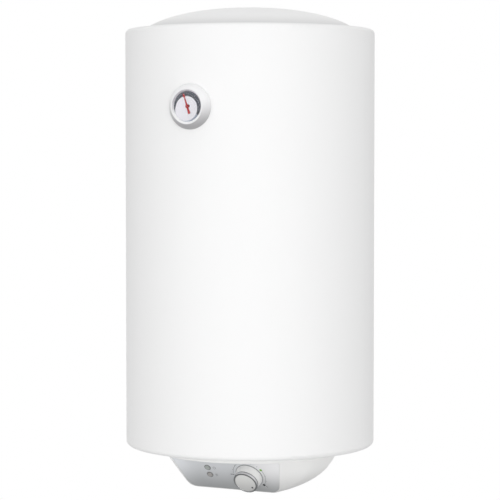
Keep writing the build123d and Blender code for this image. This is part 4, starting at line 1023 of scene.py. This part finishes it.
@dataclass
class WaterConnections(Assembly):
    """Threaded stubs with their blue and red collars."""

    bore: float = 0.0075
    stub_radius: float = 0.0102
    thread_length: float = 0.022
    pitch: float = 0.001814
    depth: float = 0.00116
    lead_in: float = 0.0012
    run_out: float = 0.003
    rows_per_pitch: int = 9
    columns: int = 72

    def build(self) -> None:
        """Cut a screw thread on both stubs."""
        for name in ("cold_spigot", "hot_spigot"):
            low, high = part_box(name)
            place = Matrix.Translation(((low[0] + high[0]) / 2, (low[1] + high[1]) / 2, low[2]))
            mesh = skin(self.stub((high[0] - low[0]) / 2, high[2] - low[2]), place)
            piece = add_piece(name + "_threaded", mesh, Palette.TUBE_STEEL)
            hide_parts(name)

    def stub(self, crest: float, length: float) -> list[list[Point]]:
        """Rings of a stub from its bore's foot over the thread to its top.

        Args:
            crest: Radius over the thread.
            length: Length of the stub.

        Returns:
            The rings.
        """
        step = self.pitch / self.rows_per_pitch
        heights = [row * step for row in range(int(self.thread_length / step) + 1)]
        thread = [[self.on_thread(crest, height, i) for i in range(self.columns)] for height in heights]
        plain = [(self.stub_radius, self.thread_length), (self.stub_radius, length), (self.bore, length)]
        foot = ring_points(self.bore, 0.0, self.columns)
        return [foot] + thread + [ring_points(*row, self.columns) for row in plain]

    def on_thread(self, crest: float, height: float, column: int) -> Point:
        """Point on the thread's flank.

        Args:
            crest: Radius over the thread.
            height: Height over the stub's end.
            column: Step round the axis.

        Returns:
            The point.
        """
        turn = 2.0 * math.pi * column / self.columns
        wave = 0.5 + 0.5 * math.cos(2.0 * math.pi * height / self.pitch - turn)
        fade = min(1.0, max(0.0, (self.thread_length - height) / self.run_out))
        radius = min(crest - self.depth * wave * fade, crest - self.lead_in + height)
        return (*polar(radius, turn), height)

    def dress(self) -> None:
        """Paint the stubs and collars."""
        paint(Palette.TUBE_STEEL, "cold_spigot", "hot_spigot", "hot_outlet_tube")
        paint(Palette.BLUE, "cold_collar")
        paint(Palette.RED, "hot_collar")
        paint(Palette.PALE_PLASTIC, "inlet_diffuser")


class InnerWorks(Assembly):
    """Tank, heaters, foam and wiring inside the drum and the control cover."""

    def dress(self) -> None:
        """Paint everything that the drum and the cover hide."""
        paint(Palette.TANK, "tank_shell", "tank_top_head", "tank_bottom_head", "flange_neck")
        paint(Palette.TANK, "heater_flask_left", "heater_flask_right")
        paint(Palette.FOAM, "insulation_foam")
        paint(Palette.RUBBER, "flange_gasket")
        paint(Palette.ZINC, "flange_plate", "flange_nuts", "thermostat_spindle")
        paint(Palette.CERAMIC, "ceramic_heater_left", "ceramic_heater_right")
        paint(Palette.ANODE, "anode_rod")
        paint(Palette.COPPER, "sensor_pocket", "thermostat_capillary", "earth_screw", "thermometer_stem")
        paint(Palette.PALE_PLASTIC, "terminal_block", "lamp_holders")
        paint(Palette.BLACK_PLASTIC, "thermostat_body", "thermal_cutout")
        paint(Palette.RED, "reset_button")
        paint(Palette.LEAD_BROWN, "heater_lead_left")
        paint(Palette.LEAD_BLUE, "heater_lead_right")
        paint(Palette.LEAD_EARTH, "earth_lead")


@dataclass
class ControlCover(Assembly):
    """Moulded bowl under the base, with its screws and cord gland."""

    nut_bore: float = 0.00765
    cord_bore: float = 0.0045
    nut_seat: float = 0.0081
    nut_round: float = 0.003
    flutes: int = 16
    flute_depth: float = 0.0006
    flute_entry: float = 0.6
    columns: int = 128

    def build(self) -> None:
        """Give the gland's nut its finger flutes."""
        low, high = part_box("gland_nut")
        length, radius = high[1] - low[1], (high[0] - low[0]) / 2
        place = seat((0.0, low[1], (low[2] + high[2]) / 2), (0.0, 0.0, 1.0), (1.0, 0.0, 0.0))
        shoulder, soft = length - self.nut_round, self.nut_round / 4
        foot = [(self.nut_bore, 0.0), (radius - soft, 0.0)]
        entry, full = (soft, self.flute_entry), (2 * soft, 1.0)
        grip = [entry, full, (shoulder - full[0], full[1]), (shoulder - entry[0], entry[1])]
        reach = self.nut_round - soft
        head = [(radius - soft, shoulder)]
        head += arc_section(radius - self.nut_round, shoulder, reach, self.nut_round, (30.0, 60.0, 90.0))
        head += [(self.cord_bore, length), (self.cord_bore, self.nut_seat), (self.nut_bore, self.nut_seat)]
        rings = [ring_points(*row, self.columns) for row in foot]
        rings += [self.fluted(radius, *row) for row in grip]
        rings += [ring_points(*row, self.columns) for row in head]
        piece = add_piece("gland_nut_fluted", skin(rings, place), Palette.GLAND)
        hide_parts("gland_nut")

    def fluted(self, radius: float, height: float, share: float) -> list[Point]:
        """Ring whose radius dips at each flute.

        Args:
            radius: Radius between the flutes.
            height: Height along the nut.
            share: Share of the flutes' full depth.

        Returns:
            The ring's points.
        """
        ring = []
        for column in range(self.columns):
            turn = 2.0 * math.pi * column / self.columns
            dip = self.flute_depth * share * (0.5 - 0.5 * math.cos(self.flutes * turn))
            ring.append((*polar(radius - dip, turn), height))
        return ring

    def dress(self) -> None:
        """Paint the bowl, the screws and the gland."""
        paint(Palette.COVER, "control_cover")
        paint(Palette.ZINC, "cover_screws")
        paint(Palette.GLAND, "cable_gland", "gland_locknut", "gland_nut")


@dataclass
class ControlPanel(Assembly):
    """Silver insert with two lamps and the printed scale round the knob."""

    knob_centre: Point = (0.041, -0.32106, -0.4455)
    tilt: float = math.radians(35.0)
    ink: float = 0.00006
    scale_radius: float = 0.0312
    scale_start: float = -41.0
    scale_end: float = 180.0
    scale_arcs: tuple[Pair, Pair] = ((-34.0, 22.0), (128.0, 174.0))
    arc_width: float = 0.0006
    ticks: int = 9
    tick_length: float = 0.0022
    tick_width: float = 0.0007
    end_tick_overlap: float = 0.001
    end_tick_length: float = 0.0075
    end_tick_width: float = 0.0012
    start_dot: float = 0.0026
    start_tick_gap: float = 0.004
    start_tick_length: float = 0.004
    start_tick_width: float = 0.0008
    economy_dot: float = 0.0025
    economy_angle: float = 30.0
    lamp_x: float = -0.040
    lamp_heights: Pair = (-0.4357, -0.4496)
    lamp_ring: Pair = (0.0051, 0.0062)
    lamp_ring_sunk: float = 0.0004
    lamp_ring_proud: float = 0.0003
    sign_shift: float = 0.0135
    sign_line: float = 0.0006
    power_radius: float = 0.0026
    power_arc: Pair = (130.0, 410.0)
    power_stem: float = 0.0034
    heat_spacing: float = 0.0016
    heat_half_height: float = 0.0028

    def place(self, x: float, height: float) -> Matrix:
        """Plane on the panel at a point given by its x and its height.

        Args:
            x: Distance to the right of the heater's middle.
            height: Height in the frame.

        Returns:
            The plane, with y up the panel and z out of it.
        """
        climb = height - self.knob_centre[2]
        y = self.knob_centre[1] - climb * math.tan(self.tilt)
        return seat((x, y, height), (1.0, 0.0, 0.0), (0.0, -math.sin(self.tilt), math.cos(self.tilt)))

    def knob_place(self) -> Matrix:
        """Plane on the panel with its origin on the knob's axis."""
        return self.place(self.knob_centre[0], self.knob_centre[2])

    def build(self) -> None:
        """Print the scale, set the lamps' rings and print their signs."""
        self.print_scale()
        inner, outer = self.lamp_ring
        # The dark rings round the lenses are painted shadow in the gaps round them.
        section = box_section(inner, -self.lamp_ring_sunk, outer, self.lamp_ring_proud)
        for name, height in zip(("power_lamp", "heating_lamp"), self.lamp_heights):
            ring = turned(section, self.place(self.lamp_x, height), SMALL_TURNED_STEPS)
            add_piece(name + "_ring", ring, Palette.GROOVE)
        self.print_signs()

    def print_scale(self) -> None:
        """Print the arcs, the ticks and the two dots round the knob."""
        radius = self.scale_radius
        step = (self.scale_end - self.scale_start) / (self.ticks + 1)
        angles = [self.scale_start + step * (i + 1) for i in range(self.ticks)]
        ticks = [tick(radius, self.tick_length, self.tick_width, angle) for angle in angles]
        self.print_piece("scale_ticks", Palette.INK_PALE, ticks)
        arcs = [arc_strip(radius, self.arc_width, *span) for span in self.scale_arcs]
        self.print_piece("scale_arcs", Palette.INK_PALE, arcs)
        end_foot, start_foot = radius - self.end_tick_overlap, radius + self.start_tick_gap
        ends = [
            tick(end_foot, self.end_tick_length, self.end_tick_width, self.scale_end),
            self.dot(self.start_dot, self.scale_start),
            tick(start_foot, self.start_tick_length, self.start_tick_width, self.scale_start),
        ]
        self.print_piece("scale_ends", Palette.INK, ends)
        economy = self.dot(self.economy_dot, self.economy_angle)
        self.print_piece("scale_economy_dot", Palette.INK_GREEN, [economy])

    def print_piece(self, name: str, finish: Finish, outlines: list[Outline]) -> None:
        """Print outlines round the knob."""
        add_piece(name, plates(outlines, self.knob_place(), self.ink), finish)

    def dot(self, size: float, angle: float) -> Outline:
        """Outline of a dot on the scale."""
        return circle_points(size, DOT_STEPS, *polar(self.scale_radius, math.radians(angle)))

    def print_signs(self) -> None:
        """Print a plain on-off sign and a plain heat sign beside the lamps."""
        half, tall = self.sign_line / 2, self.heat_half_height
        upper, lower = (self.place(self.lamp_x + self.sign_shift, height) for height in self.lamp_heights)
        ring = arc_strip(self.power_radius, self.sign_line, *self.power_arc, DOT_STEPS)
        mesh = plates([ring, box_section(-half, 0.0, half, self.power_stem)], upper, self.ink)
        middles = (-self.heat_spacing, 0.0, self.heat_spacing)
        bars = [box_section(x - half, -tall, x + half, tall) for x in middles]
        add_piece("lamp_signs", plates(bars, lower, self.ink, mesh=mesh), Palette.INK_PALE)

    def dress(self) -> None:
        """Paint the insert and the lamps."""
        paint(Palette.PANEL, "control_panel")
        paint(Palette.GREEN_LENS, "power_lamp")
        paint(Palette.AMBER_LENS, "heating_lamp")


@dataclass
class Knob(Assembly):
    """Temperature knob with a chrome ring and a marked face, on its panel."""

    panel: ControlPanel
    mark_radius: float = 0.0150
    mark_angle: float = -41.0
    mark_size: float = 0.0019
    mark_depth: float = 0.0004
    mark_proud: float = 0.00008
    ring_bore: float = 0.0200
    ring_radius: float = 0.0224
    ring_round: float = 0.0009
    lip: float = 0.0001
    body_radius: float = 0.0226
    line_height: float = 0.0005
    line_proud: float = 0.00015
    foot_shadow_inner: float = 0.0236
    foot_shadow_outer: float = 0.0263

    def span(self, node: str) -> Pair:
        """Lowest and highest point of a solid over the panel.

        Args:
            node: Name of the solid.

        Returns:
            The distances of its back and its face from the panel.
        """
        normal = self.panel.knob_place().to_3x3() @ Vector((0.0, 0.0, 1.0))
        centre = Vector(self.panel.knob_centre)
        heights = [(v.co - centre).dot(normal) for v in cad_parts[node].data.vertices]
        return min(heights), max(heights)

    def build(self) -> None:
        """Lay painted shade as a grey lip on the ring, a grey line under it and a grey ring round the foot,
        and set the dark mark.
        """
        place = self.panel.knob_place()
        seam, top = self.span("knob_trim_ring")
        face = self.span("knob_cap")[1]
        # Painted shade: a dark grey skin over the ring's front edge, bordering the face.
        lip = turned(self.lip_section(top), place)
        add_piece("knob_lip", lip, Palette.KNOB_LIP_SHADE, Body.KNOB)
        # Painted shade: a grey band round the groove where the ring meets the body.
        inner, outer = self.ring_bore + 2 * self.lip, self.body_radius + self.line_proud
        line = turned(box_section(inner, seam - self.line_height, outer, seam + self.line_height), place)
        add_piece("knob_ring_shade_line", line, Palette.KNOB_SHADE_LINE, Body.KNOB)
        # Painted shadow: a grey ring on the panel round the knob's foot.
        foot_shadow = turned(box_section(self.foot_shadow_inner, 0.0, self.foot_shadow_outer, self.panel.ink), place)
        add_piece("knob_foot_shadow", foot_shadow, Palette.KNOB_FOOT_SHADOW)
        spot = polar(self.mark_radius, math.radians(self.mark_angle))
        disc = circle_points(self.mark_size, DOT_STEPS, *spot)
        mark = plates([disc], place, face + self.mark_proud, face - self.mark_depth)
        add_piece("knob_mark", mark, Palette.INK, Body.KNOB)

    def lip_section(self, top: float) -> Outline:
        """Section of the thin lip that wraps the ring's front edge.

        Args:
            top: Height of the ring's front.

        Returns:
            Radius and height of its points.
        """
        inner, bend = self.ring_bore + self.lip, self.ring_radius - self.ring_round
        over, under = self.ring_round + self.lip, self.ring_round - self.lip
        section = [(inner, top - self.lip), (inner, top + self.lip), (bend, top + self.lip)]
        section += arc_section(bend, top - self.ring_round, over, over, (60.0, 30.0, 0.0))
        return section + arc_section(bend, top - self.ring_round, under, under, (0.0, 30.0, 60.0))

    def dress(self) -> None:
        """Paint the knob's pieces."""
        paint(Palette.KNOB, "knob_body")
        paint(Palette.CHROME, "knob_trim_ring")
        paint(Palette.KNOB_FACE, "knob_cap")


@dataclass
class Thermometer(Assembly):
    """Dial thermometer on the drum's front."""

    centre: Point = (0.0, -0.4731, 0.208)
    ink: float = 0.00006
    band_outer: float = 0.0277
    rim_radius: float = 0.0262
    disc_radius: float = 0.0210
    disc_shift: Pair = (-0.0017, -0.0034)
    band_start: float = -36.0
    band_end: float = 212.0
    band_tapers: Pair = (0.0, 30.0)
    line_start: float = -150.0
    line_tapers: Pair = (80.0, 0.0)
    crescent_steps: int = 96
    mark_radius: float = 0.0228
    mark_length: float = 0.0026
    mark_width: float = 0.0006
    mark_angles: tuple[int, int, int] = (-10, 200, 15)
    hub_shade_radius: float = 0.0027
    hub_shade_shift: Pair = (0.0021, 0.0005)
    hub_shade_height: float = 0.0003
    hub_shade_steps: int = 40
    pivot_radius: float = 0.0011
    pivot_bottom: float = 0.0010
    pivot_top: float = 0.0015
    throat_skin: float = 0.0001
    ledge_height: float = 0.0017
    ledge_inner: float = 0.0274
    ledge_outer: float = 0.0286
    wall_radius: float = 0.0282
    lip_inner: float = 0.0286
    lip_outer: float = 0.0305
    lip_seat: float = 0.0029
    lip_height: float = 0.0005
    lip_steps: int = 8

    def build(self) -> None:
        """Print the dial, set the needle's pivot, line the throat and round the bezel's front edge."""
        place = seat(self.centre, (1.0, 0.0, 0.0), (0.0, 0.0, 1.0))
        self.print_dial(place)
        pivot = turned(self.pivot_section(), place, DOT_STEPS)
        add_piece("needle_pivot", pivot, Palette.PIVOT_AND_HUB_SHADE, Body.POINTER)
        # The throat's lining carries painted shade, darker towards its top.
        add_piece("bezel_throat", turned(self.throat_section(), place), Palette.THROAT)
        add_piece("bezel_lip", turned(self.lip_section(), place), Palette.BEZEL_LIP)

    def pivot_section(self) -> Outline:
        """Section of the needle's pivot, with a bevelled face.

        Returns:
            Radius and height of its points over the dial.
        """
        low, high, radius = self.pivot_bottom, self.pivot_top, self.pivot_radius
        bevel = (high - low) / 3
        return [(0.0, low), (radius, low), (radius, high - bevel), (radius - bevel, high), (0.0, high)]

    def throat_section(self) -> Outline:
        """Thin skin over the bezel's sloping throat, the glass's ledge and the wall round the glass.

        Returns:
            Radius and height of its points over the dial.
        """
        thin, ledge, top = self.throat_skin, self.ledge_height, self.lip_seat - self.ink
        section = [(self.rim_radius, 0.0), (self.rim_radius - thin, thin)]
        section += [(self.ledge_inner - thin, ledge + thin), (self.wall_radius, ledge + thin)]
        section += [(self.wall_radius, top), (self.ledge_outer + thin, top)]
        return section + [(self.ledge_outer + thin, ledge - thin), (self.ledge_inner, ledge - thin)]

    def lip_section(self) -> Outline:
        """Half-round section of the bezel's front edge.

        Returns:
            Radius and height of its points over the dial.
        """
        middle, half = (self.lip_inner + self.lip_outer) / 2, (self.lip_outer - self.lip_inner) / 2
        angles = [180.0 * (1.0 - step / self.lip_steps) for step in range(self.lip_steps + 1)]
        section = [(self.lip_inner, self.lip_seat - self.ink)]
        section += arc_section(middle, self.lip_seat, half, self.lip_height, angles)
        return section + [(self.lip_outer, self.lip_seat - self.ink)]

    def print_dial(self, place: Matrix) -> None:
        """Print the dark band with its marks, the pale line that goes on from it, and a dark disc of
        painted shade beside the pivot.

        Args:
            place: Plane of the dial's face.
        """
        band = self.crescent(self.band_start, self.band_end, self.band_tapers)
        add_piece("dial_band", plates([band], place, self.ink), Palette.DIAL_BAND)
        line = self.crescent(self.line_start, self.band_start, self.line_tapers)
        add_piece("dial_line", plates([line], place, self.ink), Palette.DIAL_LINE)
        angles = range(*self.mark_angles)
        marks = [tick(self.mark_radius, self.mark_length, self.mark_width, angle) for angle in angles]
        mesh = plates(marks, place, 2 * self.ink, self.ink)
        add_piece("dial_marks", mesh, Palette.DIAL_MARK)
        # Painted shade: a dark disc on the dial beside the pivot, where the raised hub's shade falls.
        hub_shade = circle_points(self.hub_shade_radius, self.hub_shade_steps, *self.hub_shade_shift)
        add_piece("dial_hub_shade", plates([hub_shade], place, self.hub_shade_height), Palette.PIVOT_AND_HUB_SHADE)

    def crescent(self, start: float, end: float, tapers: Pair) -> Outline:
        """Outline of the print between the white disc and the dial's rim.

        Args:
            start: First angle in degrees.
            end: Last angle in degrees.
            tapers: Degrees over which the first and the last end run out to the rim; 0 for a blunt end.

        Returns:
            The outline's points.
        """
        outer, inner = [], []
        for step in range(self.crescent_steps + 1):
            angle = start + (end - start) * step / self.crescent_steps
            turn = math.radians(angle)
            runs = zip((angle - start, end - angle), tapers)
            share = min([1.0] + [run / taper for run, taper in runs if taper])
            reach = self.rim_radius + share * (self.disc_reach(turn) - self.rim_radius)
            outer.append(polar(self.band_outer, turn))
            inner.append(polar(reach, turn))
        return outer + inner[::-1]

    def disc_reach(self, angle: float) -> float:
        """Distance at which a ray from the dial's centre leaves the white disc.

        Args:
            angle: Direction of the ray in radians.

        Returns:
            The distance.
        """
        x, y = self.disc_shift
        along = math.cos(angle) * x + math.sin(angle) * y
        return along + math.sqrt(along**2 + self.disc_radius**2 - x * x - y * y)

    def dress(self) -> None:
        """Paint the thermometer's pieces."""
        paint(Palette.BEZEL, "thermometer_bezel")
        paint(Palette.GLASS, "thermometer_window")
        paint(Palette.DIAL, "thermometer_dial")
        paint(Palette.GAUGE_CASE, "thermometer_case")
        paint(Palette.NEEDLE, "thermometer_needle")


def main() -> None:
    """Dress and build each sub-assembly, then set up the studio."""
    logging.basicConfig(level=logging.INFO, format="%(name)s: %(message)s")
    bpy.context.scene.view_settings.view_transform = "Standard"
    panel = ControlPanel()
    assemblies: tuple[Assembly, ...] = (
        WallBrackets(),
        InnerWorks(),
        Casing(),
        WaterConnections(),
        ControlCover(),
        panel,
        Knob(panel),
        Thermometer(),
    )
    for assembly in assemblies:
        assembly.dress()
        assembly.build()
    Studio().build()


if __name__ == "__main__":
    main()
